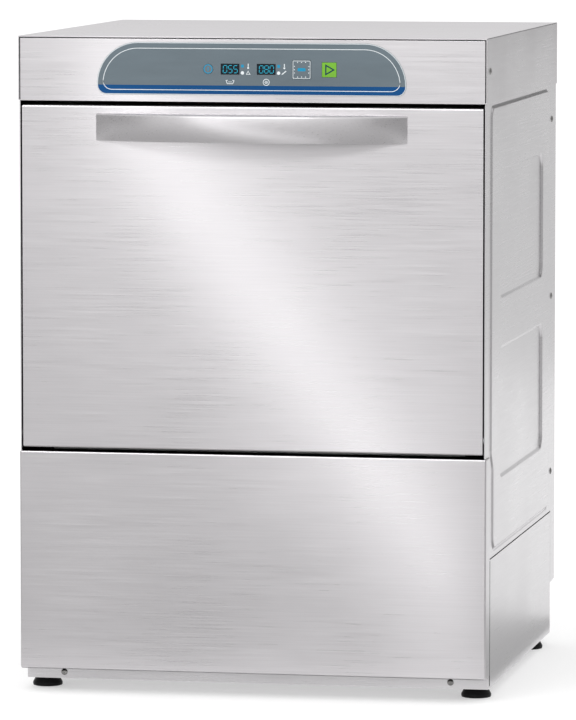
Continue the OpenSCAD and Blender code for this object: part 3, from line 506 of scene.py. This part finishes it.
def keep(node):
    """A CAD node whose shape is right: it stays, with its own material."""
    materials = frame["nodes"][node].data.materials
    materials.clear()
    materials.append(MATERIALS[SLOT_OF[node]])


def ring_of(bm, points):
    return [bm.verts.new(p) for p in points]


def bridge(bm, a, b, closed=True):
    count = len(a) if closed else len(a) - 1
    for i in range(count):
        j = (i + 1) % len(a)
        bm.faces.new((a[i], a[j], b[j], b[i]))


def lathe(bm, profile, place, steps):
    """Turns (radius, height) points round the local Z axis of a placing matrix."""
    rings = []
    for radius, height in profile:
        if radius < 1e-4:
            rings.append([bm.verts.new(place @ Vector((0, 0, height * MM)))])
            continue
        turns = [2 * math.pi * i / steps for i in range(steps)]
        points = [Vector((radius * math.cos(t), radius * math.sin(t), height)) * MM for t in turns]
        rings.append(ring_of(bm, [place @ p for p in points]))
    for a, b in zip(rings, rings[1:]):
        if len(a) == 1 or len(b) == 1:
            tip, loop = (a, b) if len(a) == 1 else (b, a)
            for i in range(steps):
                bm.faces.new((loop[i], loop[(i + 1) % steps], tip[0]))
        else:
            bridge(bm, a, b)
    bmesh.ops.recalc_face_normals(bm, faces=bm.faces)


def facing(point, direction):
    """Places local +Z along a direction at a point."""
    return Matrix.Translation(point) @ Vector(direction).to_track_quat("Z", "Y").to_matrix().to_4x4()


# ---- Flat prints on the front ----


def rounded_loop(x0, x1, z0, z1, low_r, high_r, steps=12):
    """Points round a rectangle whose lower and upper corners are rounded."""
    corners = (
        (x1 - low_r, z0 + low_r, low_r, -90),
        (x1 - high_r, z1 - high_r, high_r, 0),
        (x0 + high_r, z1 - high_r, high_r, 90),
        (x0 + low_r, z0 + low_r, low_r, 180),
    )
    points = []
    for cx, cz, r, start in corners:
        for i in range(steps + 1):
            turn = math.radians(start + 90 * i / steps)
            points.append((cx + r * math.cos(turn), cz + r * math.sin(turn)))
    return points


def arc_points(cx, cz, r, start, end, steps=8):
    turns = [math.radians(start + (end - start) * i / steps) for i in range(steps + 1)]
    return [(cx + r * math.cos(t), cz + r * math.sin(t)) for t in turns]


def circle_loop(x, z, r, steps=40):
    turns = [2 * math.pi * i / steps for i in range(steps)]
    return [(x + r * math.cos(t), z + r * math.sin(t)) for t in turns]


def add_patch(bm, loop, d):
    """A thin filled print whose face is at depth d."""
    face = ring_of(bm, [at(x, d, z) for x, z in loop])
    back = ring_of(bm, [at(x, d + FLAT, z) for x, z in loop])
    bm.faces.new(face)
    bm.faces.new(list(reversed(back)))
    bridge(bm, back, face)


def add_band(bm, outer, inner, d):
    """A thin print between two loops of as many points."""
    loops = []
    for loop, depth in ((outer, d), (inner, d), (inner, d + FLAT), (outer, d + FLAT)):
        loops.append(ring_of(bm, [at(x, depth, z) for x, z in loop]))
    for i in range(4):
        bridge(bm, loops[i], loops[(i + 1) % 4])


def stroke(a, b, width):
    """Loop of a straight stroke between two points."""
    (ax, az), (bx, bz) = a, b
    length = math.hypot(bx - ax, bz - az)
    nx = (az - bz) / length * width / 2
    nz = (bx - ax) / length * width / 2
    return [(ax - nx, az - nz), (bx - nx, bz - nz), (bx + nx, bz + nz), (ax + nx, az + nz)]


def print_piece(name, bm, body, colour):
    bmesh.ops.recalc_face_normals(bm, faces=bm.faces)
    return make_piece(name, bm, body, INKS[colour])


SEGMENTS = {
    "a": ((0, 2), (1, 2)),
    "b": ((1, 1), (1, 2)),
    "c": ((1, 0), (1, 1)),
    "d": ((0, 0), (1, 0)),
    "e": ((0, 0), (0, 1)),
    "f": ((0, 1), (0, 2)),
    "g": ((0, 1), (1, 1)),
}
DIGITS = {"0": "abcdef", "5": "acdfg", "8": "abcdefg"}


def digit_bar(start, end, gap, half):
    """Outline of one pointed bar of a digit, a gap shorter at both ends."""
    (ax, az), (bx, bz) = start, end
    length = math.hypot(bx - ax, bz - az)
    ux = (bx - ax) / length
    uz = (bz - az) / length
    far = length - 2 * gap
    shape = ((0, 0), (half, -half), (far - half, -half), (far, 0), (far - half, half), (half, half))
    return [(ax + ux * (gap + s) - uz * n, az + uz * (gap + s) + ux * n) for s, n in shape]


def add_digit(bm, digit, x, z, w, h, d):
    """One seven-segment digit, leaning slightly, with its lower left corner at x, z."""
    thick = w * 0.15
    lean = 0.05
    for name in DIGITS[digit]:
        start, end = ((x + u * w, z + v * h / 2) for u, v in SEGMENTS[name])
        bar = digit_bar(start, end, thick * 0.62, thick / 2)
        add_patch(bm, [(px + (pz - z) * lean, pz) for px, pz in bar], d)


# ---- Fascia ----

OVERLAY_R = 52  # radius of the overlay's upper corners


def print_loop(name, node, gap, low_gap, low_r, width, colour):
    """A line printed all round inside the fascia, at a gap from its edge."""
    x0, x1, d0, _, z0, z1 = span(node)
    loops = []
    for inset in (0, width):
        side = gap + inset
        loops.append(rounded_loop(x0 + side, x1 - side, z0 + low_gap + inset, z1 - side,
                                  low_r - inset, OVERLAY_R - side))
    bm = bmesh.new()
    add_band(bm, loops[0], loops[1], d0 - 2 * FLAT)
    print_piece(name, bm, "cabinet", colour)


def control_fascia():
    node = "control_overlay"
    refine(node, 0.15)
    x0, x1, d0, _, z0, _ = span(node)
    corner_r = 11.7
    inset = 0.3 + corner_r
    bm = bmesh.new()
    band = arc_points(x1 - inset, z0 + inset, corner_r, -90, 0)
    band += arc_points(x0 + inset, z0 + inset, corner_r, 180, 270)
    add_patch(bm, band, d0 - FLAT)
    print_piece("overlay_band", bm, "cabinet", "blue")
    # A light ring along the overlay's edge: a painted highlight.
    print_loop("overlay_painted_highlight", node, 0.2, 0.2, 11.8, 1.0, "edge")
    print_loop("overlay_line", node, 7.2, 5.8, 11.5, 0.75, "white")


def displays():
    refine("display_windows", 0.4)
    x0, x1, d0, _, z0, z1 = span("display_windows")
    window_w = 23
    margin_x = 2.7
    margin_z = 2.0
    pitch = 6.6
    digit_w = 4.6
    digit_h = z1 - z0 - 2 * margin_z
    bm = bmesh.new()
    for left, figure in ((x0, "055"), (x1 - window_w, "080")):
        for i, digit in enumerate(figure):
            x = left + margin_x + pitch * i
            add_digit(bm, digit, x, z0 + margin_z, digit_w, digit_h, d0 - FLAT)
    print_piece("display_digits", bm, "cabinet", "glow")


def centre(node):
    x0, x1, _, _, z0, z1 = span(node)
    return (x0 + x1) / 2, (z0 + z1) / 2


def add_outline(bm, loop, middle, share, d):
    """A line just inside a loop: the loop and a smaller copy round its middle."""
    mx, mz = middle
    inner = [(mx + (x - mx) * share, mz + (z - mz) * share) for x, z in loop]
    add_band(bm, loop, inner, d)


def power_mark():
    cx, cz = centre("power_key")
    x0, x1, d0, _, _, _ = span("power_key")
    d = d0 - FLAT
    power_r = (x1 - x0) / 2 - 0.3
    bm = bmesh.new()
    add_outline(bm, circle_loop(cx, cz, power_r), (cx, cz), 0.8, d)
    add_patch(bm, stroke((cx, cz - 2.4), (cx, cz + 2.4), 1.0), d)
    print_piece("power_mark", bm, "power_key_body", "ring")


def programme_mark():
    cx, cz = centre("programme_key")
    x0, x1, d0, _, _, _ = span("programme_key")
    d = d0 - FLAT
    half = (x1 - x0) / 2 - 0.5
    bm = bmesh.new()
    frame_loop = rounded_loop(cx - half, cx + half, cz - half, cz + half, 1.2, 1.2)
    add_outline(bm, frame_loop, (cx, cz), 0.95, d)
    reach = half - 2.6
    tick = 1.3
    for i in (-1, 0, 1):
        for sign in (-1, 1):
            upright = (cx + i * 5, cz + sign * reach)
            level = (cx + sign * reach, cz + i * 4)
            add_patch(bm, stroke(upright, (upright[0], upright[1] + sign * tick), 0.9), d)
            add_patch(bm, stroke(level, (level[0] + sign * tick, level[1]), 0.9), d)
    print_piece("programme_mark", bm, "programme_key_body", "white")
    bm = bmesh.new()
    add_patch(bm, rounded_loop(cx - 5, cx + 5, cz - 2, cz + 2, 1, 1), d)
    print_piece("programme_lamp", bm, "programme_key_body", "ring")


def start_mark():
    cx, cz = centre("start_key")
    bm = bmesh.new()
    corners = [(cx - 5.0, cz - 7.0), (cx + 7.2, cz), (cx - 5.0, cz + 7.0)]
    add_outline(bm, corners, (cx - 0.9, cz), 0.62, span("start_key")[2] - FLAT)
    print_piece("start_mark", bm, "start_key_body", "navy")


def keys():
    for node in ("power_key", "programme_key", "start_key"):
        refine(node, 0.25)
    power_mark()
    programme_mark()
    start_mark()


def add_tub(bm, x, z, d):
    """A basin seen from the side."""
    rim = 5.2
    lip = 2.4
    base = 3.4
    deep = 4.2
    for sign in (-1, 1):
        corner = (x + sign * rim, z + deep)
        add_patch(bm, stroke(corner, (x + sign * base, z), 0.8), d)
        add_patch(bm, stroke(corner, (x + sign * (rim - lip), z + deep), 0.7), d)
    add_patch(bm, stroke((x - base, z), (x + base, z), 0.8), d)
    water = z + 2.2
    add_patch(bm, stroke((x - base + 1, water), (x + base - 1, water), 0.6), d)


def add_steam_ring(bm, x, z, d):
    """A round vessel with three level lines."""
    add_outline(bm, circle_loop(x, z, 4.2), (x, z), 0.83, d)
    for i, reach in ((-1, 1.6), (0, 2.4), (1, 1.6)):
        add_patch(bm, stroke((x - reach, z + i * 1.3), (x + reach, z + i * 1.3), 0.6), d)


def add_gauge(bm, x, z, d):
    """A stem with a bulb."""
    add_patch(bm, stroke((x, z), (x, z + 4.6), 1.0), d)
    add_patch(bm, circle_loop(x, z - 0.6, 1.2, 16), d)


def symbols():
    """Small printed signs by the displays, and the lamps beside them."""
    x0, x1, _, _, z0, z1 = span("display_windows")
    d = span("control_overlay")[2] - FLAT
    first = x0 + 11.5
    second = x1 - 11.5
    lamp_row = z1 - 2.6
    lamp_x = 15.6
    gauge_x = lamp_x + 7.2
    half = 1.8
    white = bmesh.new()
    lamps = bmesh.new()
    add_tub(white, first, z0 - 11.5, d)
    add_steam_ring(white, second, z0 - 9.4, d)
    for window in (first, second):
        x = window + lamp_x
        lamp = rounded_loop(x - half, x + half, lamp_row - half, lamp_row + half, 0.8, 0.8)
        add_patch(lamps, lamp, d)
        add_patch(white, circle_loop(x, z0 + 2, 2.1, 20), d)
        add_gauge(white, window + gauge_x, lamp_row - 1.6, d)
    middle = first + gauge_x
    warning = [(middle - 2.8, z0), (middle + 2.8, z0), (middle, z0 + 4.8)]
    add_outline(white, warning, (middle, z0 + 1.7), 0.6, d)
    middle = second + gauge_x
    add_patch(white, stroke((middle - 3.2, z0 + 0.4), (middle + 2.2, z0 + 4.6), 1.1), d)
    print_piece("symbols", white, "cabinet", "white")
    print_piece("lamps", lamps, "cabinet", "ring")


# ---- Handle, screws, feet, springs ----


HANDLE_EASE = 12  # reach in millimetres below which the handle's wall loses its arch


def handle_row(x, reach, top, low, r, inset):
    """Section of the handle at x: the lid from the door, a bend, and a wall that arches under."""
    tilt = math.radians(-5)
    under = math.radians(27)
    brow = top - r
    arch_r = (brow - low) / (math.sin(under) - math.sin(tilt))
    deep = reach - inset - arch_r * (1 - math.cos(tilt))
    bend = max(min(r - inset, deep), 0.05)
    ease = min(1.0, deep / HANDLE_EASE)
    points = []
    for i in range(6):
        points.append(at(x, -(deep - bend) * i / 6, top - inset))
    for i in range(9):
        turn = math.radians(90 * i / 8)
        points.append(at(x, -(deep - bend + bend * math.sin(turn)), brow + (r - inset) * math.cos(turn)))
    for i in range(1, 15):
        turn = tilt + (under - tilt) * i / 14
        drop = arch_r * (math.sin(turn) - math.sin(tilt))
        points.append(at(x, -deep + ease * arch_r * (math.cos(tilt) - math.cos(turn)), brow - drop))
    return points


def door_handle():
    _, x1, d0, _, z0, z1 = span("door_handle")
    sheet = 2.0
    bend_r = 3.0
    columns = 96
    end_reach = sheet + 0.3
    bow = -d0 - end_reach
    bow_r = (x1 * x1 + bow * bow) / (2 * bow)
    bm = bmesh.new()
    outer = []
    inner = []
    for i in range(columns + 1):
        x = x1 * math.sin(math.radians(90 * (2 * i / columns - 1)))
        reach = math.sqrt(bow_r**2 - x * x) - (bow_r - bow) + end_reach
        outer.append(ring_of(bm, handle_row(x, reach, z1, z0, bend_r, 0)))
        inner.append(ring_of(bm, handle_row(x, reach, z1, z0, bend_r, sheet)))
    for i in range(columns):
        bridge(bm, outer[i], outer[i + 1], False)
        bridge(bm, inner[i + 1], inner[i], False)
        # The inner faces take the near-black steel, which paints the shade inside the handle.
        for a, b in zip(inner[i], inner[i][1:]):
            for f in set(a.link_faces) & set(b.link_faces):
                f.material_index = 1
        for end in (0, -1):
            bm.faces.new((outer[i][end], outer[i + 1][end], inner[i + 1][end], inner[i][end]))
    bridge(bm, inner[0], outer[0], False)
    bridge(bm, outer[-1], inner[-1], False)
    bmesh.ops.remove_doubles(bm, verts=bm.verts, dist=1e-6)
    bmesh.ops.recalc_face_normals(bm, faces=bm.faces)
    obj = piece_for("door_handle", bm)
    obj.data.materials.append(MATERIALS["painted_shade_steel"])
    bevel = obj.modifiers.new("rounding", "BEVEL")
    bevel.limit_method = "ANGLE"
    bevel.angle_limit = math.radians(50)
    bevel.width = 0.6 * MM
    bevel.segments = 3
    even_normals(obj)


HEAD = 0.42  # height of a pan head as a share of its radius


def add_screw(bm, cutter, point, direction, r, length):
    """Pan-head screw standing on a face, and the shape of its cross recess."""
    place = facing(point, direction)
    profile = [(0, HEAD), (0.35, 0.4), (0.62, 0.33), (0.85, 0.2), (0.97, 0.08), (1, 0)]
    head = [(a * r, b * r) for a, b in profile]
    lathe(bm, head + [(0.43 * r, 0), (0.43 * r, -length), (0, -length)], place, 28)
    for turn in (0, 90):
        spin = place @ Matrix.Rotation(math.radians(turn + 20), 4, "Z")
        bottom = [(-0.3, -0.09), (0.3, -0.09), (0.3, 0.09), (-0.3, 0.09)]
        low = ring_of(cutter, [spin @ (Vector((x * r, y * r, 0.12 * r)) * MM) for x, y in bottom])
        high = ring_of(cutter, [spin @ (Vector((x * 2 * r, y * 1.7 * r, r)) * MM) for x, y in bottom])
        bridge(cutter, low, high)
        cutter.faces.new(list(reversed(low)))
        cutter.faces.new(high)


def carve(obj, cutter):
    """Cuts the cutter out of the piece for good."""
    bmesh.ops.recalc_face_normals(cutter, faces=cutter.faces)
    mesh = bpy.data.meshes.new("cutter")
    cutter.to_mesh(mesh)
    cutter.free()
    tool = bpy.data.objects.new("cutter", mesh)
    bpy.context.scene.collection.objects.link(tool)
    cut = obj.modifiers.new("cut", "BOOLEAN")
    cut.operation = "DIFFERENCE"
    cut.solver = "EXACT"
    cut.use_self = True
    cut.object = tool
    bpy.context.view_layer.update()
    result = bpy.data.meshes.new_from_object(obj.evaluated_get(bpy.context.evaluated_depsgraph_get()))
    obj.modifiers.remove(cut)
    obj.data = result
    bpy.data.objects.remove(tool)


def screw_places(node):
    """Centre and box corners of each screw in a CAD group."""
    source = clean_copy(node)
    found = []
    while source.verts:
        start = next(iter(source.verts))
        island = {start}
        queue = [start]
        while queue:
            for e in queue.pop().link_edges:
                for v in e.verts:
                    if v not in island:
                        island.add(v)
                        queue.append(v)
        lo = Vector([min(v.co[i] for v in island) for i in range(3)])
        hi = Vector([max(v.co[i] for v in island) for i in range(3)])
        found.append(((lo + hi) / 2, lo, hi))
        bmesh.ops.delete(source, geom=list(island), context="VERTS")
    source.free()
    return found


def screws(node):
    bm = bmesh.new()
    cutter = bmesh.new()
    for middle, lo, hi in screw_places(node):
        size = hi - lo
        axis = screw_axis(size)
        sign = -1 if middle[axis] < 0 else 1
        direction = Vector([sign if i == axis else 0 for i in range(3)])
        radius = max(size[i] for i in range(3) if i != axis) / 2 / MM
        head_h = HEAD * radius
        point = middle.copy()
        point[axis] = (hi[axis] if sign > 0 else lo[axis]) - sign * head_h * MM
        add_screw(bm, cutter, point, direction, radius, size[axis] / MM - head_h)
    obj = piece_for(node, bm)
    carve(obj, cutter)


def screw_axis(size):
    """The two equal sides are the head's diameter, so the third is the screw's axis."""
    pairs = {0: (1, 2), 1: (0, 2), 2: (0, 1)}
    return min(pairs, key=lambda i: abs(size[pairs[i][0]] - size[pairs[i][1]]))


def foot(node):
    x0, x1, d0, d1, z0, z1 = span(node)
    place = Matrix.Translation(at((x0 + x1) / 2, (d0 + d1) / 2, z0))
    r = (x1 - x0) / 2
    profile = [(0, 0.6), (r - 7, 0.6), (r - 6, 0), (r - 2, 0), (r - 0.5, 0.5), (r, 1.8), (r, 4.0)]
    profile += [(r - 0.4, 5.0), (r - 1.6, 7.0), (r - 2.8, 9.2), (r - 4.2, 11.4), (r - 6, 12.7), (r - 7, 13)]
    profile += [(9.5, 13), (9.5, 12.2), (6.4, 12.2)]
    stud = 5.0
    pitch = 1.5
    z = 13.2
    while z < z1 - z0 - 2:
        profile += [(stud, z), (stud - 0.7, z + 0.6), (stud, z + 1.2)]
        z += pitch
    profile += [(stud - 1, z1 - z0), (0, z1 - z0)]
    bm = bmesh.new()
    lathe(bm, profile, place, 48)
    piece_for(node, bm)


def coil_spring(node, wire=0.75, pitch=2.2):
    x0, x1, d0, d1, z0, z1 = span(node)
    middle_x = (x0 + x1) / 2
    middle_d = (d0 + d1) / 2
    r = (x1 - x0) / 2 - wire
    per_turn = 16
    turns = (z1 - z0 - 2 * wire) / pitch
    steps = int(turns * per_turn)
    sides = 8
    bm = bmesh.new()
    previous = None
    for i in range(steps + 1):
        turn = 2 * math.pi * i / per_turn
        out = Vector((math.cos(turn), math.sin(turn), 0))
        middle = at(middle_x, middle_d, z0 + wire + pitch * i / per_turn) + out * r * MM
        loop = []
        for s in range(sides):
            a = 2 * math.pi * s / sides
            offset = out * math.cos(a) + Vector((0, 0, math.sin(a)))
            loop.append(bm.verts.new(middle + offset * wire * MM))
        if previous:
            bridge(bm, previous, loop)
        else:
            bm.faces.new(list(reversed(loop)))
        previous = loop
    bm.faces.new(previous)
    bmesh.ops.recalc_face_normals(bm, faces=bm.faces)
    piece_for(node, bm, smooth_deg=60)


# ---- Stamped side panels ----
# Millimetres: depths behind the front plane and heights above the floor

FIELD_STAND = 1.5  # how far the raised field stands out
FIELD_FRONT = 43
FIELD_LOW_FRONT = 58  # front edge of the field beside the lower front panel
FIELD_REAR = 532
FIELD_R = 16
POCKET_FRONT = 109
POCKET_REAR = 474
POCKET_HEIGHTS = ((270, 432), (495, 655))
POCKET_R = 18
POCKET_DEEP = 2.8
HALF_WALL = 2.4  # half the width of a stamped wall
LEG_D = 37  # depth of the panel's rear leg


def closed_path(corners, r, step=40.0):
    """Points round an outline whose corners are rounded to radius r, close enough for even faces."""
    count = len(corners)
    sparse = []
    for i in range(count):
        a, b, c = (Vector(corners[(i + k) % count]) for k in (-1, 0, 1))
        to_a, to_c = (a - b).normalized(), (c - b).normalized()
        half = to_a.angle(to_c) / 2
        hub = b + (to_a + to_c).normalized() * (r / math.sin(half))
        start, end = (b + to * (r / math.tan(half)) - hub for to in (to_a, to_c))
        for k in range(9):
            sparse.append(hub + start.slerp(end, k / 8).normalized() * r)
    points = []
    for i, a in enumerate(sparse):
        b = sparse[(i + 1) % len(sparse)]
        pieces = max(1, round((b - a).length / step))
        points += [a.lerp(b, k / pieces) for k in range(pieces)]
    return points


def offset_loop(points, gap):
    """An anticlockwise loop moved sideways, outwards where the gap is positive."""
    moved = []
    for i, p in enumerate(points):
        run = (points[(i + 1) % len(points)] - points[i - 1]).normalized()
        moved.append(p + Vector((run.y, -run.x)) * gap)
    return moved


def rise(share):
    """Smooth step from 0 to 1."""
    return 0.5 - 0.5 * math.cos(math.pi * min(max(share, 0.0), 1.0))


def field_levels():
    """The field's edge: a shallow moat, then a wall up to the field."""
    moat = 1.1
    moat_w = 2.6
    steps = 11
    rings = []
    for i in range(steps + 1):
        gap = HALF_WALL + moat_w - (moat_w + 2 * HALF_WALL) * i / steps
        level = -moat * rise((HALF_WALL + moat_w - gap) / moat_w)
        level += (moat + FIELD_STAND) * rise((HALF_WALL - gap) / (2 * HALF_WALL))
        rings.append((gap, level))
    return rings


def pocket_levels():
    """A pocket's edge: a wall down from the field."""
    shares = [i / 8 for i in range(9)]
    return [(HALF_WALL - 2 * HALF_WALL * t, FIELD_STAND - POCKET_DEEP * rise(t)) for t in shares]


def field_path(waist, knee, skirt):
    """The field's outline, which steps back beside the lower front panel."""
    corners = [(FIELD_LOW_FRONT, waist + 10), (FIELD_REAR, waist + 10), (FIELD_REAR, skirt - 6),
               (FIELD_FRONT, skirt - 6), (FIELD_FRONT, knee + 1), (FIELD_LOW_FRONT, knee - 17)]
    return closed_path(corners, FIELD_R)


def pocket_path(low, high):
    corners = [(POCKET_FRONT, low), (POCKET_REAR, low), (POCKET_REAR, high), (POCKET_FRONT, high)]
    return closed_path(corners, POCKET_R)


def stamped_panel(node):
    """Side sheet with a raised field and two pockets pressed back into it."""
    x0, x1, _, d1, z0, z1 = span(node)
    side = 1 if x0 > 0 else -1
    face = max(abs(x0), abs(x1)) - FIELD_STAND
    sheet = 1.2
    skirt = span("top_panel")[4]
    knee = span("lower_front_panel")[5] + 1
    waist = span("base_chassis")[5] - TONGUE_H + 0.6
    hip = d1 - LEG_D
    outline = [(2, waist), (2, knee), (0, knee), (0, skirt - 1), (2, skirt - 1), (2, z1), (d1 - 2, z1),
               (d1, skirt - 1), (d1, z0), (hip, z0), (hip, waist)]
    verts = [Vector(p) for p in outline]
    levels = [0.0] * len(verts)
    edges = []
    shapes = [(field_path(waist, knee, skirt), field_levels())]
    for low, high in POCKET_HEIGHTS:
        shapes.append((pocket_path(low, high), pocket_levels()))
    for path, rings in shapes:
        for gap, level in rings:
            first = len(verts)
            verts += offset_loop(path, gap)
            levels += [level] * len(path)
            edges += [(first + i, first + (i + 1) % len(path)) for i in range(len(path))]
    flat = delaunay_2d_cdt(verts, edges, [list(range(len(outline)))], 1, 1e-4)
    bm = bmesh.new()
    made = []
    for p, origins in zip(flat[0], flat[3]):
        level = max((levels[i] for i in origins), key=abs, default=0.0)
        made.append(bm.verts.new(at(side * (face + level), p.x, p.y)))
    for tri in flat[2]:
        bm.faces.new([made[i] for i in tri])
    bmesh.ops.recalc_face_normals(bm, faces=bm.faces)
    if sum(f.normal.x for f in bm.faces) * side < 0:
        bmesh.ops.reverse_faces(bm, faces=bm.faces)
    obj = piece_for(node, bm, smooth_deg=40)
    solid = obj.modifiers.new("sheet", "SOLIDIFY")
    solid.thickness = sheet * MM
    solid.offset = -1
    bevel = obj.modifiers.new("rounding", "BEVEL")
    bevel.limit_method = "ANGLE"
    bevel.angle_limit = math.radians(60)
    bevel.width = 0.3 * MM
    bevel.segments = 2
    even_normals(obj)


# ---- Build ----

refine("top_panel", 0.3, 1.2, detail=top_seams)
refine("base_chassis", 0.3, segments=2, detail=base_seams)
for part in ("door_outer_skin", "lower_front_panel"):
    refine(part, 0.3, 2.0)
refine("door_inner_liner", 0.25, 3.0)
for part in ("side_panel_left", "side_panel_right"):
    stamped_panel(part)
control_fascia()
displays()
keys()
symbols()
door_handle()
for part in ("cabinet_screws", "front_panel_screws"):
    screws(part)
for part in [n for n in frame["nodes"] if n.startswith("foot_")]:
    foot(part)
for part in ("door_spring_left", "door_spring_right"):
    coil_spring(part)
refine("door_gasket", 2.2)
ROUNDED = {
    "rear_panel": 0.3, "chamber_shell": 0.3, "chamber_back_wall": 0.3,
    "wash_tank": 0.3, "rack_guide_left": 0.3, "rack_guide_right": 0.3, "tank_filters": 0.3,
    "sump_filter": 0.5, "lower_wash_arm": 1.0, "lower_rinse_arm": 0.8, "upper_wash_arm": 1.0,
    "upper_rinse_arm": 0.8, "pump_housing": 1.0, "pump_motor": 1.0, "terminal_box": 1.2,
    "cable_gland": 0.6, "dosing_pumps": 1.0, "inlet_valve": 0.6, "hinge_mounts": 0.3,
    "door_levers": 0.3, "control_housing": 0.5, "rinse_boiler": 2.0, "boiler_heater": 0.4,
    "standpipe": 0.5, "dish_rack": 0.6, "reed_switch": 0.4, "door_magnet": 0.4,
}
for part, width in ROUNDED.items():
    refine(part, width, segments=2)
for part in frame["nodes"]:
    if part not in REPLACED:
        keep(part)


# ---- Setting ----


def aim(obj, target):
    obj.rotation_euler = (Vector(target) - obj.location).to_track_quat("-Z", "Y").to_euler()


def camera():
    """Three-quarter view from the right, slightly above, with a long lens."""
    target = Vector((0.0465, FRONT, 0.4229))
    azimuth = math.radians(10.8)
    elevation = math.radians(5.23)
    distance = 7.278
    data = bpy.data.cameras.new("camera")
    data.sensor_width = 36
    data.lens = 293.96
    data.clip_end = 200
    obj = bpy.data.objects.new("camera", data)
    bpy.context.scene.collection.objects.link(obj)
    away = Vector((math.sin(azimuth) * math.cos(elevation), -math.cos(azimuth) * math.cos(elevation),
                   math.sin(elevation)))
    obj.location = target + away * distance
    aim(obj, target)
    bpy.context.scene.camera = obj
    return obj


def area(name, place, target, size, power):
    data = bpy.data.lights.new(name, "AREA")
    data.shape = "RECTANGLE"
    data.size, data.size_y = size
    data.energy = power
    obj = bpy.data.objects.new(name, data)
    bpy.context.scene.collection.objects.link(obj)
    obj.location = place
    aim(obj, target)
    obj.visible_camera = False


def card(name, place, face, up, size, radiance):
    """A studio card that only reflections see: brighter than the room, or darker."""
    face = Vector(face).normalized()
    up = Vector(up).normalized()
    right = up.cross(face)
    bm = bmesh.new()
    corners = [(-0.5, -0.5), (0.5, -0.5), (0.5, 0.5), (-0.5, 0.5)]
    points = [Vector(place) + right * u * size[0] + up * v * size[1] for u, v in corners]
    bm.faces.new(ring_of(bm, points))
    mesh = bpy.data.meshes.new(name)
    bm.to_mesh(mesh)
    bm.free()
    obj = bpy.data.objects.new(name, mesh)
    bpy.context.scene.collection.objects.link(obj)
    shade = Shade(name, Specular_IOR_Level=0.0, Emission_Strength=radiance)
    shade.put(shade.shader.inputs["Emission Color"], rgb(1, 1, 1))
    mesh.materials.append(shade.finish(rgb(0, 0, 0), 1.0))
    obj.visible_camera = False
    obj.visible_diffuse = False
    obj.visible_shadow = False
    return obj


def strip_card(view, gap=0.52):
    """Narrow bright strip before the door; its mirror image crosses the front on a slant."""
    ends = []
    for x, z in ((-0.205, 0.812), (0.275, 0.128)):
        share = gap / (FRONT - view.location.y)
        ends.append(Vector((x + (x - view.location.x) * share, FRONT - gap,
                            z + (z - view.location.z) * share)))
    run = ends[1] - ends[0]
    card("strip", (ends[0] + ends[1]) / 2, (0, 1, 0), run, (0.058, run.length), 3.1)


def world():
    """Even white studio."""
    data = bpy.data.worlds.new("studio")
    bpy.context.scene.world = data
    data.use_nodes = True
    data.node_tree.nodes["Background"].inputs["Color"].default_value = (1, 1, 1, 1)
    data.node_tree.nodes["Background"].inputs["Strength"].default_value = 1.1


def studio_floor():
    bm = bmesh.new()
    rings = []
    turns = [2 * math.pi * i / 64 for i in range(64)]
    for r in (1.5, 4.0, 12.0, 40.0):
        rings.append(ring_of(bm, [Vector((r * math.cos(t), r * math.sin(t), 0)) for t in turns]))
    bm.faces.new(rings[0])
    for a, b in zip(rings, rings[1:]):
        bridge(bm, a, b)
    bmesh.ops.recalc_face_normals(bm, faces=bm.faces)
    mesh = bpy.data.meshes.new("studio_floor")
    bm.to_mesh(mesh)
    bm.free()
    obj = bpy.data.objects.new("studio_floor", mesh)
    bpy.context.scene.collection.objects.link(obj)
    shade = Shade("floor_paper")
    fibre = shade.noise(300.0, 3.0)
    colour = shade.blend(shade.remap(fibre, 0.0, 1.0), rgb(0.56, 0.56, 0.56), rgb(0.6, 0.6, 0.6))
    shade.put(shade.shader.inputs["Emission Color"], rgb(1, 1, 1))
    shade.shader.inputs["Emission Strength"].default_value = 0.42
    mesh.materials.append(shade.finish(colour, shade.remap(fibre, 0.85, 0.95)))


view = camera()
world()
studio_floor()
strip_card(view)
# In front: the door and the panels below and above it reflect these
card("front_high", (0, -3.4, 2.3), (0, 1, -0.3), (0, 0, 1), (3.6, 1.8), 1.4)
card("front_far", (0, -4.4, 0.55), (0, 1, 0), (0, 0, 1), (6.0, 1.1), 0.85)
card("front_floor", (-0.1, -2.2, 0.012), (0, 0, 1), (0, 1, 0), (4.0, 3.6), 0.75)
card("near_floor", (0, -0.85, 0.016), (0, 0, 1), (0, 1, 0), (2.2, 0.9), 0.6)
# At the sides: the ends of the handle and the folds reflect these
card("dark_left", (-2.8, -1.7, 0.9), (1, 0.5, 0), (0, 0, 1), (2.2, 2.2), 0.5)
card("dark_right", (2.3, -2.3, 0.9), (-1, 1, 0), (0, 0, 1), (2.4, 2.2), 0.38)
card("right_back", (2.3, 1.8, 0.9), (-0.8, -0.6, 0), (0, 0, 1), (2.0, 2.4), 0.5)
card("left_mid", (-2.6, 0.3, 0.9), (1, 0, 0), (0, 0, 1), (2.2, 2.2), 0.45)
card("right_mid", (2.4, 0.3, 0.9), (-1, 0, 0), (0, 0, 1), (2.2, 2.2), 0.5)
# Behind: the right side and the top reflect these
card("side_back", (0.9, 1.7, 0.55), (0, -1, 0), (0, 0, 1), (1.7, 0.64), 0.77)
card("side_high", (1.05, 1.69, 1.2), (0, -1, 0), (0, 0, 1), (1.7, 0.8), 0.22)
card("side_floor", (0.62, 0.12, 0.014), (0, 0, 1), (0, 1, 0), (0.64, 0.6), 0.5)
card("high_back", (0.4, 1.72, 1.4), (0, -1, 0), (0, 0, 1), (3.2, 1.1), 0.86)
area("key", (-0.5, -2.75, 2.45), (0, FRONT, 0.55), (1.8, 0.8), 34)
bpy.context.scene.view_settings.view_transform = "Standard"
